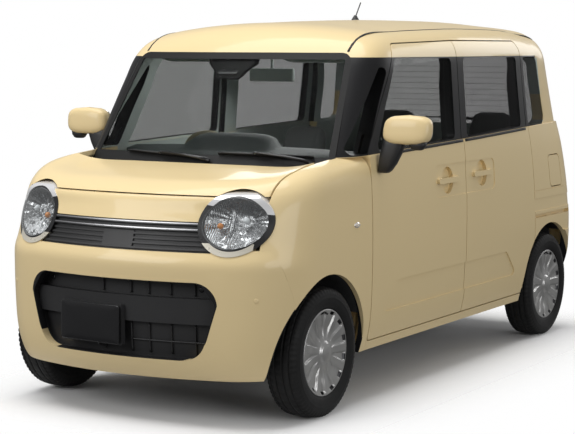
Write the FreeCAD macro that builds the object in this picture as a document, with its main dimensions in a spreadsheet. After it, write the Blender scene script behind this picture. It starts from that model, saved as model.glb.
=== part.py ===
import FreeCAD, Part
import math
import os
from types import SimpleNamespace
import Sketcher
from FreeCAD import Placement, Rotation, Vector

# A tall, boxy kei car with hinged front doors, sliding rear doors and a top-hinged tailgate.
# +Z is up, the car's nose points along -Y and its left side is +X.
# The origin is on the ground, midway between the ends and the sides of the car.
SIZES = {
    # the whole car
    "overall_length": 3395, "overall_width": 1475, "overall_height": 1695,
    "wheelbase": 2460, "front_overhang": 538, "front_tread": 1295, "rear_tread": 1300,
    "shut_gap": 5.5, "seat_gap": 0.3, "overrun": 60,
    # the lines of the body
    "belt_height": 1107, "belt_step": 13, "cabin_half_width": 702, "cabin_lean_in": 38,
    "cabin_lean_height": 500, "bow_reach": 600, "front_bow": 120, "front_corner_radius": 230,
    "rear_bow": 26, "rear_corner_radius": 110, "pillar_corner_radius": 110,
    "roof_edge_radius": 125, "roof_crown": 58, "bonnet_edge_radius": 105,
    "shoulder_raise": 22, "shoulder_start": 480, "shoulder_width": 170,
    "shoulder_nose": 1480, "shoulder_length": 400, "tail_taper": 40,
    "screen_foot": 1045, "screen_foot_height": 1075, "screen_head": 738,
    "screen_head_height": 1530, "screen_bow": 93,
    # body side and its openings, the places along the car measured from the nearer axle
    "sill_height": 228, "frame_depth": 112, "upper_frame_depth": 78, "door_depth": 62,
    "upper_door_depth": 42, "door_skin": 10, "door_step": 14, "door_well": 75,
    "upper_door_well": 53, "frame_flange": 30,
    "centre_pillar_width": 110, "ditch_half_width": 541, "arch_height": 280,
    "front_arch_radius": 331, "rear_arch_radius": 336, "hinge_pillar_width": 60,
    "hinge_flange": 45, "seal_width": 11,
    "door_front": 381.5, "door_split": 1369.5, "slide_rear": 215.5,
    "door_bottom": 270, "door_top": 1589, "door_shoulder": 1085, "door_head": 727.5,
    "door_head_height": 1573, "door_head_radius": 55, "slide_head_radius": 70,
    "door_corner_radius": 25,
    # windows
    "glass_thickness": 4, "glass_inset": 3, "window_base": 8, "window_head": 1506,
    "window_radius": 28, "window_toe": 470, "window_top_front": 709, "window_rear": 1300,
    "slide_window_front": 1440, "slide_window_rear": 290, "corner_window_front": 180,
    "corner_window_rear": 85, "corner_window_top_rear": 49, "corner_window_radius": 45,
    "pane_toe": 242, "pane_heel": 391, "pane_top_front": 562, "pane_top_rear": 626,
    "pane_head": 1468, "pane_radius": 22,
    # windscreen, in front view
    "screen_base_half_width": 640, "screen_top_half_width": 566, "screen_base": 1040,
    "screen_top": 1532, "screen_radius": 60, "screen_thickness": 6,
    # roof and bonnet
    "roof_depth": 38, "roof_rear": 1535, "bonnet_depth": 26, "bonnet_rear": 1100,
    "bonnet_half_width": 622, "bonnet_front_half_width": 600, "bonnet_lip": 953,
    "cowl_depth": 60,
    # nose
    "fender_depth": 26, "fender_nose": 1440, "bumper_depth": 40, "bumper_base": 200,
    "bumper_top": 726, "nose_panel_base": 849, "grille_half_width": 372, "grille_depth": 14,
    "grille_thickness": 22, "grille_radius": 14, "slat_height": 8, "slat_pitch": 19,
    "slat_count": 4, "grille_block_half_width": 76, "bar_height": 9, "bar_proud": 3,
    "bar_base": 812, "bar_pitch": 24,
    "mouth_top": 605, "mouth_base": 286, "mouth_top_half_width": 400,
    "mouth_half_width": 466, "mouth_base_half_width": 396, "mouth_middle": 516,
    "mouth_radius": 95, "mouth_depth": 60, "mouth_panel_thickness": 24,
    "mouth_bar_height": 106, "mouth_bar_centre": 484, "mouth_bar_proud": 30,
    "rib_thickness": 5, "rib_proud": 16, "rib_pitch": 150, "rib_raise": 62,
    "plate_width": 330, "plate_height": 172, "plate_thickness": 22, "plate_centre": 412,
    "plate_offset": 122, "plate_setback": 26,
    # lamps
    "lamp_offset": 504, "lamp_height": 846, "lamp_half_width": 143, "lamp_half_height": 131,
    "lens_half_width": 124, "lens_half_height": 102, "lamp_depth": 66, "lamp_proud": 4,
    "lens_proud": 9, "lamp_gap": 0.5,
    "tail_lamp_base": 640, "tail_lamp_top": 905, "tail_lamp_inner": 590,
    "tail_lamp_outer": 690, "tail_lamp_radius": 40, "tail_lamp_depth": 36,
    # tail
    "tailgate_base": 486, "tailgate_base_half_width": 540, "tailgate_half_width": 572,
    "tailgate_top_half_width": 532, "tailgate_waist": 1090, "tailgate_depth": 46,
    "tailgate_radius": 60, "tailgate_seam": 1543,
    "tail_window_base": 1122, "tail_window_top": 1500, "tail_window_half_width": 500,
    "tail_window_top_half_width": 470, "tail_window_radius": 60,
    "tail_frame_flange": 24, "rear_bumper_base": 226, "rear_bumper_top": 560,
    "rear_bumper_depth": 44,
    "rear_recess_half_width": 270, "rear_recess_base": 640, "rear_recess_top": 900,
    "rear_recess_depth": 10, "garnish_height": 46,
    # fuel flap
    "flap_height": 892, "flap_size": 164, "flap_radius": 24, "flap_from_axle": 102,
    "flap_depth": 5, "flap_well": 30,
    # pressed lines of the body side
    "press_toe": 480, "press_top_front": 640, "press_top_rear": 590, "press_heel": 446,
    "press_base": 384, "press_top": 517, "press_depth": 6, "press_radius": 40,
    "slide_slot_height": 664, "slide_slot_width": 20, "slide_slot_depth": 24,
    "slide_slot_end": 290, "ledge_base": 690, "ledge_top": 757, "ledge_depth": 3,
    "groove_height": 797, "groove_width": 4,
    # mirrors
    "mirror_offset": 861, "mirror_height": 1200, "mirror_from_axle": 466,
    "mirror_width": 230, "mirror_tall": 130, "mirror_thickness": 92, "mirror_radius": 36,
    "mirror_foot_height": 1040, "mirror_foot_size": 66,
    # door handles
    "handle_length": 228, "handle_height": 25, "handle_proud": 12, "handle_foot": 8,
    "handle_front": 210, "handle_rear": 190, "handle_centre": 930, "rear_handle_raise": 10,
    "cup_radius": 64, "cup_depth": 22, "patch_reach": 345, "patch_height": 154, "patch_depth": 3,
    "patch_radius": 34,
    # floor and structure
    "floor_height": 262, "floor_thickness": 30, "tunnel_width": 220, "tunnel_height": 90,
    "rear_floor_height": 470, "rear_floor_front": 580, "bulkhead_from_axle": 300,
    "bulkhead_thickness": 24, "rail_offset": 365, "rail_width": 56, "rail_height": 90,
    "rail_base": 360, "house_thickness": 14, "house_inner": 414, "rear_house_inner": 520,
    # cabin
    "dash_rear_from_axle": 600, "dash_base": 700, "dash_top": 1036, "dash_radius": 60,
    "wheel_offset": 320, "steering_ring_radius": 180, "steering_ring_thickness": 13,
    "steering_from_axle": 775, "steering_height": 985, "steering_rake": 28,
    "steering_hub_radius": 62, "steering_hub_depth": 60, "column_radius": 32,
    "column_length": 320,
    "seat_offset": 300, "seat_width": 500, "seat_length": 500, "seat_base": 372,
    "seat_thickness": 170, "seat_front_from_axle": 800, "seat_back_height": 600,
    "seat_back_thickness": 130, "seat_back_lean": 18, "seat_radius": 40,
    "head_rest_width": 260, "head_rest_height": 170, "head_rest_thickness": 100,
    "head_rest_gap": 26, "post_radius": 6, "post_spread": 70,
    "rear_seat_width": 1000, "rear_seat_length": 470, "rear_seat_from_axle": 560,
    "rear_seat_thickness": 140, "rear_seat_back_height": 520,
    # running gear
    "tyre_radius": 278.5, "tyre_width": 155, "tyre_wall": 100, "rim_radius": 186,
    "rim_lip": 9, "rim_width": 138, "cover_dish": 16, "cover_thickness": 8, "fin_count": 13,
    "fin_length": 96, "fin_root": 76, "hub_radius": 54, "hub_depth": 70,
    "barrel_thickness": 6, "drum_radius": 90, "slot_root": 16, "slot_tip": 30,
    "knuckle_width": 50, "knuckle_length": 120, "knuckle_height": 150, "spindle_radius": 22,
    "ball_joint_offset": 624, "ball_joint_height": 160, "ball_joint_radius": 20,
    "strut_top_offset": 526, "strut_top_height": 800, "strut_radius": 22,
    "strut_foot_offset": 530, "strut_foot_height": 330, "strut_tower_radius": 70,
    "arm_width": 56, "arm_thickness": 26, "subframe_length": 300, "subframe_height": 60,
    "subframe_base": 190, "beam_width": 70, "beam_height": 60, "trailing_arm_length": 420,
    "damper_radius": 24, "damper_offset": 436,
    # engine, exhaust and tank
    "engine_width": 620, "engine_length": 360, "engine_height": 480,
    "engine_from_axle": -60, "radiator_width": 560, "radiator_height": 330,
    "radiator_thickness": 36, "radiator_from_nose": 190,
    "tank_width": 760, "tank_length": 340, "tank_height": 150,
    "silencer_radius": 80, "silencer_length": 220, "pipe_radius": 22,
    # roof antenna and cabin mirror
    "antenna_from_axle": 1585, "antenna_offset": 0, "antenna_length": 96, "antenna_radius": 3,
    "antenna_foot_radius": 20, "antenna_foot_height": 12, "antenna_lean": 37,
    "cabin_mirror_width": 240, "cabin_mirror_height": 62, "cabin_mirror_thickness": 24,
    "cabin_mirror_base": 1394, "cabin_mirror_from_axle": 742,
}

doc = FreeCAD.newDocument("kei_car")
sheet = doc.addObject("Spreadsheet::Sheet", "sizes")
for row, (name, value) in enumerate(SIZES.items(), 1):
    sheet.set(f"A{row}", name)
    sheet.set(f"B{row}", str(value))
    sheet.setAlias(f"B{row}", name)
doc.recompute()
size = SimpleNamespace(**{name: float(sheet.get(name)) for name in SIZES})

half_length = size.overall_length / 2
half_width = size.overall_width / 2
front_axle = size.front_overhang - half_length
rear_axle = front_axle + size.wheelbase

# Each pair is a share of the overall height and of the half width, the half length or the
# overall height that the body's side, nose and tail reach there.
side_shares = ((0.080, 0.868), (0.118, 0.935), (0.139, 0.9485), (0.152, 0.955), (0.177, 0.970),
               (0.214, 0.985), (0.265, 0.9935), (0.330, 0.9985), (0.400, 1.0), (0.472, 0.9985),
               (0.531, 0.994), (0.590, 0.9855), (0.625, 0.9785), (0.653, 0.9695))
nose_shares = ((0.080, 0.945), (0.118, 0.970), (0.145, 0.986), (0.171, 0.993), (0.24, 0.9985),
               (0.30, 0.9995), (0.36, 1.0), (0.40, 0.9985), (0.428, 0.986), (0.50, 0.961),
               (0.56, 0.940), (0.60, 0.923), (0.66, 0.895))
tail_shares = ((0.10, 0.950), (0.147, 0.978), (0.206, 0.9955), (0.30, 1.0), (0.40, 0.998),
               (0.53, 0.991), (0.65, 0.983), (0.75, 0.972), (0.885, 0.952), (0.96, 0.935))
# Each pair here is a share of the overall length behind the middle of the car.
roof_shares = ((-0.50, 0.880), (-0.42, 0.922), (-0.36, 0.944), (-0.24, 0.969), (-0.12, 0.984),
               (0.0, 0.993), (0.15, 0.9995), (0.27, 1.0), (0.40, 0.988), (0.50, 0.968),
               (0.55, 0.955))
bonnet_shares = ((-0.52, 0.545), (-0.47, 0.572), (-0.43, 0.5915), (-0.38, 0.607),
                 (-0.33, 0.6175), (-0.30, 0.6225), (-0.25, 0.630))
taper_shares = ((0.37, 0.0), (0.46, 0.15), (0.60, 0.45), (0.68, 0.65), (0.90, 1.0))


def curve(shares, place):
    """Value of a smooth curve without overshoot through pairs of shares."""
    def slope(k):
        if k == 0 or k == len(shares) - 1:
            j = min(k, len(shares) - 2)
            return (shares[j + 1][1] - shares[j][1]) / (shares[j + 1][0] - shares[j][0])
        before = (shares[k][1] - shares[k - 1][1]) / (shares[k][0] - shares[k - 1][0])
        after = (shares[k + 1][1] - shares[k][1]) / (shares[k + 1][0] - shares[k][0])
        return 0.0 if before * after <= 0 else 2 * before * after / (before + after)
    if place <= shares[0][0]:
        return shares[0][1] + slope(0) * (place - shares[0][0])
    if place >= shares[-1][0]:
        return shares[-1][1] + slope(len(shares) - 1) * (place - shares[-1][0])
    i = max(k for k in range(len(shares) - 1) if shares[k][0] < place)
    run = shares[i + 1][0] - shares[i][0]
    t = (place - shares[i][0]) / run
    rise = shares[i + 1][1] - shares[i][1]
    return (shares[i][1] + rise * (3 * t**2 - 2 * t**3)
            + run * (slope(i) * (t**3 - 2 * t**2 + t) + slope(i + 1) * (t**3 - t**2)))


def blend(t):
    t = min(1.0, max(0.0, t))
    return t * t * (3 - 2 * t)


def rounded(a, b, radius, power=2.4):
    """Two surfaces' distances joined over a soft corner of about that radius."""
    u = a + radius
    v = b + radius
    if u <= 0 or v <= 0:
        return max(a, b)
    return (u**power + v**power)**(1 / power) - radius


def across(x):
    return (x / size.bow_reach)**2


def tapered(y, z):
    tail_start = 0.06 * size.overall_length
    tail_run = 0.26 * size.overall_length
    back = max(0.0, y - tail_start) / tail_run
    return size.tail_taper * max(0.0, curve(taper_shares, z / size.overall_height)) * back**1.6


def flank(point):
    reach = half_width * curve(side_shares, point.z / size.overall_height)
    return abs(point.x) - reach + tapered(point.y, point.z)


def glasshouse(point):
    lean = size.cabin_lean_in / size.cabin_lean_height
    reach = size.cabin_half_width - lean * (point.z - size.belt_height)
    return abs(point.x) - reach + tapered(point.y, point.z)


def nose(point):
    reach = half_length * curve(nose_shares, point.z / size.overall_height)
    return size.front_bow * across(point.x) - reach - point.y


def tail(point):
    reach = half_length * curve(tail_shares, point.z / size.overall_height)
    return point.y - reach + size.rear_bow * across(point.x)


def roof_line(point):
    rise = size.overall_height * curve(roof_shares, point.y / size.overall_length)
    return point.z - rise + size.roof_crown * across(point.x)


def bonnet_line(point):
    rise = size.overall_height * curve(bonnet_shares, point.y / size.overall_length)
    outboard = blend((abs(point.x) - size.shoulder_start) / size.shoulder_width)
    behind = blend((point.y + size.shoulder_nose) / size.shoulder_length)
    return point.z - rise - size.shoulder_raise * outboard * behind


screen_rise = size.screen_head_height - size.screen_foot_height
screen_slope = (size.screen_foot - size.screen_head) / screen_rise
screen_angle = math.atan(screen_slope)


def screen_line(point):
    place = -size.screen_foot + screen_slope * (point.z - size.screen_foot_height)
    place += size.screen_bow * across(point.x)
    return (place - point.y) * math.cos(screen_angle)


def upper_form(point):
    """Below zero inside the glasshouse: windscreen, roof, pillars and upper tail."""
    form = rounded(glasshouse(point), screen_line(point), size.pillar_corner_radius)
    form = rounded(form, tail(point), size.rear_corner_radius)
    return rounded(form, roof_line(point), size.roof_edge_radius)


def lower_form(point):
    """Below zero inside the lower body: nose, bonnet, flanks and lower tail."""
    form = rounded(flank(point), nose(point), size.front_corner_radius)
    form = rounded(form, tail(point), size.rear_corner_radius)
    return rounded(form, bonnet_line(point), size.bonnet_edge_radius)


def flank_form(point):
    """Below zero inside the doors and quarter panels, whatever lies above them."""
    return rounded(flank(point), tail(point), size.rear_corner_radius)


class Skin:
    """A stretch of the car's outer surface, met by rays from inside, and panels behind it."""

    def __init__(self, form, ray, columns, rows):
        self.rays = [[ray(i / (columns - 1), j / (rows - 1)) for j in range(rows)]
                     for i in range(columns)]
        self.reaches = [[self.meet(form, *one) for one in line] for line in self.rays]

    @staticmethod
    def meet(form, start, way):
        """Distance along a ray to the outermost skin."""
        outer = size.overall_width
        step = outer / 48
        inner = outer
        while form(start + way * inner) > 0:
            outer = inner
            inner -= step
            if inner < 0:
                raise ValueError(f"no skin along the ray from {start} towards {way}")
        for _ in range(22):
            middle = (inner + outer) / 2
            if form(start + way * middle) > 0:
                outer = middle
            else:
                inner = middle
        return inner

    def surface(self, depth):
        grid = [[start + way * (reach - depth) for (start, way), reach in zip(line, reaches)]
                for line, reaches in zip(self.rays, self.reaches)]
        patch = Part.BSplineSurface()
        patch.interpolate(grid)
        return patch

    def panel(self, near, far):
        """Solid between two depths behind the skin."""
        outer = self.surface(near)
        inner = self.surface(far)
        u0, u1, v0, v1 = outer.bounds()
        faces = [outer.toShape(), inner.toShape()]
        for u in (u0, u1):
            faces.append(Part.makeRuledSurface(outer.uIso(u).toShape(), inner.uIso(u).toShape()))
        for v in (v0, v1):
            faces.append(Part.makeRuledSurface(outer.vIso(v).toShape(), inner.vIso(v).toShape()))
        shell = Part.makeShell(faces)
        shell.sewShape()
        solid = Part.makeSolid(shell)
        if solid.Volume < 0:
            solid.reverse()
        return solid


def heading(turn, lift):
    """Direction from a turn about the vertical, zero to the left, and a lift, in degrees."""
    return Vector(math.cos(math.radians(lift)) * math.cos(math.radians(turn)),
                  math.cos(math.radians(lift)) * math.sin(math.radians(turn)),
                  math.sin(math.radians(lift)))


def eased(share, start, end):
    """Share of the way between two places, from 0 to 1."""
    return min(1.0, max(0.0, (share - start) / (end - start)))


side_core = 0.55 * half_width
cabin_core_height = 0.78 * size.overall_height


def flank_ray(along, up):
    """Rays of the lower side, from ahead of the front door round the rear corner."""
    front = front_axle + 0.8 * size.door_front
    rear = half_length - 0.95 * side_core
    place = front + (rear - front) * eased(along, 0.0, 0.82)
    low = 0.9 * size.sill_height
    high = size.belt_height + size.overrun
    turn = 80 * blend(eased(along, 0.7, 1.0))
    return Vector(side_core, place, low + (high - low) * up), heading(turn, 0)


def glasshouse_ray(along, up):
    """Rays of the upper side, from the windscreen pillar round the rear corner to the roof."""
    low = size.belt_height - size.overrun
    level = low + (cabin_core_height - low) * min(1.0, up / 0.5)
    lift = 72 * blend(eased(up, 0.4, 1.0))
    front = -size.screen_foot + screen_slope * (level - size.screen_foot_height)
    front += 0.9 * side_core
    rear = half_length - 1.15 * side_core
    place = front + (rear - front) * eased(along, 0.2, 0.8)
    turn = 82 * blend(eased(along, 0.7, 1.0)) - 74 * (1 - blend(eased(along, 0.0, 0.3)))
    return Vector(side_core, place, level), heading(turn, lift)


def fender_ray(along, up):
    """Rays of a front fender, from the door round the front corner and over the shoulder."""
    low = 0.95 * size.bumper_base
    core_height = 0.49 * size.overall_height
    level = low + (core_height - low) * min(1.0, up / 0.62)
    lift = 80 * blend(eased(up, 0.5, 1.0))
    rear = front_axle + 1.15 * size.door_front
    front = front_axle - 0.3 * size.front_overhang
    place = front + (rear - front) * eased(along, 0.25, 1.0)
    turn = -70 * (1 - blend(eased(along, 0.0, 0.4)))
    return Vector(0.62 * half_width, place, level), heading(turn, lift)


def bonnet_ray(along, sideways):
    """Rays of the bonnet, from its rear edge forward over the nose."""
    rear = -0.97 * size.screen_foot
    front = front_axle - 0.45 * size.front_overhang
    place = rear + (front - rear) * eased(along, 0.0, 0.6)
    lean = math.radians(80 * blend(eased(along, 0.45, 1.0)))
    tilt = math.radians(26 * (2 * sideways - 1)**3)
    way = Vector(math.sin(tilt), -math.sin(lean) * math.cos(tilt), math.cos(lean) * math.cos(tilt))
    width = size.bonnet_half_width * 0.94
    return Vector(width * (2 * sideways - 1), place, 0.45 * size.overall_height), way


def nose_ray(along, up):
    """Rays of the nose, from one front wheel arch round to the other."""
    swing = 2 * along - 1
    low = 0.97 * size.bumper_base
    high = 0.6 * size.overall_height
    core = Vector(-0.6 * half_width * math.sin(math.pi / 2 * swing),
                  front_axle - 0.1 * size.front_overhang, low + (high - low) * up)
    return core, heading(-90 - 96 * (0.35 * swing + 0.65 * swing**3), 0)


def tail_ray(along, up):
    """Rays of the tail, from side to side and forward over the roof's rear edge."""
    swing = 2 * along - 1
    low = 0.97 * size.rear_bumper_base
    high = 0.86 * size.overall_height
    level = low + (high - low) * min(1.0, up / 0.8)
    lift = 78 * blend(eased(up, 0.65, 1.0))
    core = Vector(0.6 * half_width * math.sin(math.pi / 2 * swing),
                  half_length - 0.22 * size.overall_height, level)
    return core, heading(90 - 88 * (0.35 * swing + 0.65 * swing**3), lift)


def lower_tail_ray(along, up):
    """Rays of the rear bumper, from one rear wheel arch round to the other."""
    start, way = tail_ray(along, 0.0)
    low = 0.97 * size.rear_bumper_base
    high = size.rear_bumper_top + size.overrun
    return Vector(start.x, start.y, low + (high - low) * up), way


def roof_ray(along, sideways):
    """Rays of the roof, from the windscreen's head back over the rear edge."""
    front = -0.6 * size.screen_head
    rear = half_length - 0.2 * size.overall_height
    place = front + (rear - front) * eased(along, 0.2, 0.85)
    lean = math.radians(54 * blend(eased(along, 0.7, 1.0)) - 62 * (1 - blend(eased(along, 0.0, 0.3))))
    width = 1.04 * size.ditch_half_width
    return (Vector(width * (2 * sideways - 1), place, cabin_core_height),
            Vector(0, math.sin(lean), math.cos(lean)))


def screen_ray(sideways, up):
    """Rays of the windscreen, square to its middle line."""
    depth = 0.5 * half_width
    rise = size.screen_base + (size.screen_top - size.screen_base) * (1.3 * up - 0.15)
    place = -size.screen_foot + screen_slope * (rise - size.screen_foot_height)
    way = Vector(0, -math.cos(screen_angle), math.sin(screen_angle))
    foot = Vector(1.06 * size.screen_base_half_width * (2 * sideways - 1), place, rise)
    return foot - way * depth, way


roof_skin = Skin(upper_form, roof_ray, 20, 11)
screen_skin = Skin(upper_form, screen_ray, 17, 9)
lower_tail_skin = Skin(flank_form, lower_tail_ray, 19, 7)
flank_skin = Skin(flank_form, flank_ray, 24, 12)
glasshouse_skin = Skin(upper_form, glasshouse_ray, 26, 16)
fender_skin = Skin(lower_form, fender_ray, 16, 18)
bonnet_skin = Skin(lower_form, bonnet_ray, 14, 15)
nose_skin = Skin(lower_form, nose_ray, 25, 16)
tail_skin = Skin(upper_form, tail_ray, 17, 20)


def offset_corners(points, grow):
    """Corners of a closed outline, given as (across, up, radius), moved outwards."""
    count = len(points)
    area = sum(points[i - 1][0] * points[i][1] - points[i][0] * points[i - 1][1] for i in range(count))
    side = 1 if area > 0 else -1
    moved = []
    for i in range(count):
        before, here, after = points[i - 1], points[i], points[(i + 1) % count]
        along = Vector(here[0] - before[0], here[1] - before[1]).normalize()
        ahead = Vector(after[0] - here[0], after[1] - here[1]).normalize()
        bend = along.x * ahead.y - along.y * ahead.x
        shift = Vector(along.y + ahead.y, -along.x - ahead.x) * side / (1 + along.dot(ahead))
        radius = here[2] + grow * (1 if bend * side > 0 else -1) if here[2] else 0
        moved.append((Vector(here[0], here[1]) + shift * grow, max(0, radius)))
    return moved


def outline(points, place, grow=0.0):
    """Closed wire with rounded corners, put into space by a function."""
    corners = offset_corners(points, grow)
    count = len(corners)
    runs = []
    for i in range(count):
        here, radius = corners[i]
        back = (corners[i - 1][0] - here).normalize()
        ahead = (corners[(i + 1) % count][0] - here).normalize()
        half = back.getAngle(ahead) / 2
        if radius == 0:
            runs.append((here, here, here))
            continue
        cut = radius / math.tan(half)
        middle = here + (back + ahead).normalize() * (radius / math.sin(half) - radius)
        runs.append((here + back * cut, middle, here + ahead * cut))
    edges = []
    for i in range(count):
        start, middle, end = runs[i]
        if not start.isEqual(end, 1e-6):
            edges.append(Part.Arc(place(start), place(middle), place(end)).toShape())
        following = runs[(i + 1) % count][0]
        if not end.isEqual(following, 1e-6):
            edges.append(Part.makeLine(place(end), place(following)))
    return Part.Wire(edges)


def side_prism(points, grow=0.0, inner=None):
    """Outline in side view, as (along, up, radius), run out through the left side."""
    inner = 0.4 * half_width if inner is None else inner
    face = Part.Face(outline(points, lambda p: Vector(inner, p.x, p.y), grow))
    return face.extrude(Vector(half_width + size.overrun - inner, 0, 0))


def front_prism(points, grow=0.0, near=None, far=None):
    """Outline in front view, as (across, up, radius), run along the car."""
    near = -half_length - size.overrun if near is None else near
    far = front_axle if far is None else far
    face = Part.Face(outline(points, lambda p: Vector(p.x, near, p.y), grow))
    return face.extrude(Vector(0, far - near, 0))


def plan_prism(points, grow=0.0):
    """Outline in plan, as (across, along, radius), run from the ground to above the roof."""
    face = Part.Face(outline(points, lambda p: Vector(p.x, p.y, 0), grow))
    return face.extrude(Vector(0, 0, size.overall_height + size.overrun))


def oval_prism(across, up, half_across, half_up, near, far):
    """Upright oval in front view, run along the car."""
    if half_across < half_up:
        curve_line = Part.Ellipse(Vector(0, 0, 0), half_up, half_across).toShape()
        curve_line.rotate(Vector(0, 0, 0), Vector(0, 0, 1), 90)
    else:
        curve_line = Part.Ellipse(Vector(0, 0, 0), half_across, half_up).toShape()
    curve_line.rotate(Vector(0, 0, 0), Vector(1, 0, 0), 90)
    curve_line.translate(Vector(across, near, up))
    return Part.Face(Part.Wire(curve_line)).extrude(Vector(0, far - near, 0))


def box(low, high):
    """Box between two corners."""
    return Part.makeBox(high[0] - low[0], high[1] - low[1], high[2] - low[2], Vector(*low))


def across_cylinder(radius, inner, outer, along, up):
    return Part.makeCylinder(radius, outer - inner, Vector(inner, along, up), Vector(1, 0, 0))


def mirrored(shape):
    return shape.mirror(Vector(0, 0, 0), Vector(1, 0, 0))


def both(shape):
    return Part.makeCompound(solids_of(shape) + solids_of(mirrored(shape)))


def solids_of(shape):
    return list(shape.Solids)


pieces = []


def keep(name, shape):
    """A sub-part whose solids come from Part's own functions."""
    solids = solids_of(shape)
    item = doc.addObject("Part::Feature", name)
    item.Label = name
    whole = solids[0] if len(solids) == 1 else Part.makeCompound(solids)
    item.Shape = whole
    item.Placement = whole.Placement
    pieces.append(item)
    return item


# Places along the car
door_front = front_axle + size.door_front
door_split = front_axle + size.door_split
slide_rear = rear_axle - size.slide_rear
far_front = -half_length - size.overrun
far_rear = half_length + size.overrun
far_side = half_width + size.overrun
far_top = size.overall_height + size.overrun
belt_rise_share = 0.027
half_gap = size.shut_gap / 2


def belt(along):
    return size.belt_height + belt_rise_share * along


front_door_line = [
    (door_front, size.door_bottom, size.door_corner_radius),
    (door_front, size.door_shoulder, 2 * size.door_head_radius),
    (front_axle + size.door_head, size.door_head_height, size.door_head_radius),
    (door_split, size.door_top, 0), (door_split, size.door_bottom, 0)]
sliding_door_line = [
    (door_split, size.door_bottom, 0), (door_split, size.door_top, 0),
    (slide_rear, size.door_top, size.slide_head_radius),
    (slide_rear, size.door_bottom, size.door_corner_radius)]
both_doors_line = front_door_line[:4] + sliding_door_line[2:]
window_front = front_axle + size.window_toe
front_window_line = [
    (window_front, belt(window_front) + size.window_base, size.window_radius),
    (front_axle + size.window_top_front, size.window_head, size.window_radius),
    (front_axle + size.window_rear, size.window_head, size.window_radius),
    (front_axle + size.window_rear, belt(door_split) + size.window_base, size.window_radius)]
sliding_window_line = [
    (front_axle + size.slide_window_front, belt(door_split) + size.window_base, size.window_radius),
    (front_axle + size.slide_window_front, size.window_head, size.window_radius),
    (rear_axle - size.slide_window_rear, size.window_head, size.window_radius),
    (rear_axle - size.slide_window_rear, belt(slide_rear) + size.window_base, size.window_radius)]
corner_window_line = [
    (rear_axle - size.corner_window_front, belt(slide_rear) + size.window_base, size.window_radius),
    (rear_axle - size.corner_window_front, size.window_head, size.window_radius),
    (rear_axle + size.corner_window_top_rear, size.window_head, size.corner_window_radius),
    (rear_axle + size.corner_window_rear, belt(rear_axle) + size.window_base,
     size.corner_window_radius)]
pane_line = [
    (front_axle + size.pane_toe, belt(front_axle) + 2 * size.window_base, size.pane_radius),
    (front_axle + size.pane_top_front, size.pane_head, size.pane_radius),
    (front_axle + size.pane_top_rear, size.pane_head, size.pane_radius),
    (front_axle + size.pane_heel, belt(door_front) + size.window_base, size.pane_radius)]

below_belt = side_prism([
    (far_front, 0, 0), (far_front, belt(far_front), 0), (far_rear, belt(far_rear), 0), (far_rear, 0, 0)])
lap = 1.5 * size.belt_step
above_belt = side_prism([
    (far_front, belt(far_front) - lap, 0), (far_front, far_top, 0), (far_rear, far_top, 0),
    (far_rear, belt(far_rear) - lap, 0)], inner=0)

door_lower = flank_skin.panel(0, size.door_depth).common(below_belt)
door_upper = glasshouse_skin.panel(0, size.upper_door_depth).common(above_belt)


def door(line, window):
    """One door: a deep lower half and a thin frame round its window, in one solid."""
    lower = door_lower.common(side_prism(line, -half_gap))
    upper = door_upper.common(side_prism(line, -half_gap))
    return lower.fuse(upper).cut(side_prism(window))


rear_arch = across_cylinder(size.rear_arch_radius, 0, far_side, rear_axle, size.arch_height)
front_arch = across_cylinder(size.front_arch_radius, 0, far_side, front_axle, size.arch_height)
split_edge = side_prism([
    (door_split - size.door_step, 0, 0), (door_split, 0, 0), (door_split, far_top, 0),
    (door_split - size.door_step, far_top, 0)])
split_edge = split_edge.cut([flank_skin.panel(-size.overrun, size.door_skin).common(below_belt),
                             glasshouse_skin.panel(-size.overrun, size.door_skin).common(above_belt)])


def along_box(front, rear, base, top, radius=0.0):
    """Outline of an upright rounded rectangle in side view."""
    return [(front, base, radius), (rear, base, radius), (rear, top, radius), (front, top, radius)]


# The doors' lower halves are pressed in: one shallow patch round both handles, one long panel
# near the sill and a round cup behind each handle.
patch = along_box(door_split - size.patch_reach, door_split + size.patch_reach,
                  size.handle_centre - size.patch_height / 2, size.handle_centre + size.patch_height / 2,
                  size.patch_radius)
patch_room = flank_skin.panel(-size.overrun / 2, size.patch_depth).common(side_prism(patch))
pressed = [
    (front_axle + size.press_toe, size.press_base, size.press_radius / 2),
    (rear_axle - size.press_heel, size.press_base, size.press_radius / 2),
    (rear_axle - size.press_top_rear, size.press_top, size.press_radius),
    (front_axle + size.press_top_front, size.press_top, size.press_radius)]
pressed_room = flank_skin.panel(-size.overrun / 2, size.press_depth).common(side_prism(pressed))
cup_layer = flank_skin.panel(-size.overrun / 2, size.cup_depth)
handle_layer = flank_skin.panel(-size.handle_proud, size.handle_foot)


def with_handle(shape, along, up):
    """A door pressed in at its patch and cup, with the handle bridging the cup."""
    cup = cup_layer.common(across_cylinder(size.cup_radius, 0, far_side, along, up))
    bar = along_box(along - size.handle_length / 2, along + size.handle_length / 2,
                    up - size.handle_height / 2, up + size.handle_height / 2, size.handle_height / 3)
    return shape.cut([patch_room, cup, pressed_room]).fuse(handle_layer.common(side_prism(bar)))


front_door = door(front_door_line, front_window_line).cut(split_edge)
front_door = with_handle(front_door, door_split - size.handle_front, size.handle_centre)
sliding_door = door(sliding_door_line, sliding_window_line).cut(rear_arch)
sliding_door = with_handle(sliding_door, door_split + size.handle_rear,
                           size.handle_centre + size.rear_handle_raise)
keep("front_door_left", front_door)
keep("front_door_right", mirrored(front_door))
keep("sliding_door_left", sliding_door)
keep("sliding_door_right", mirrored(sliding_door))

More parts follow.
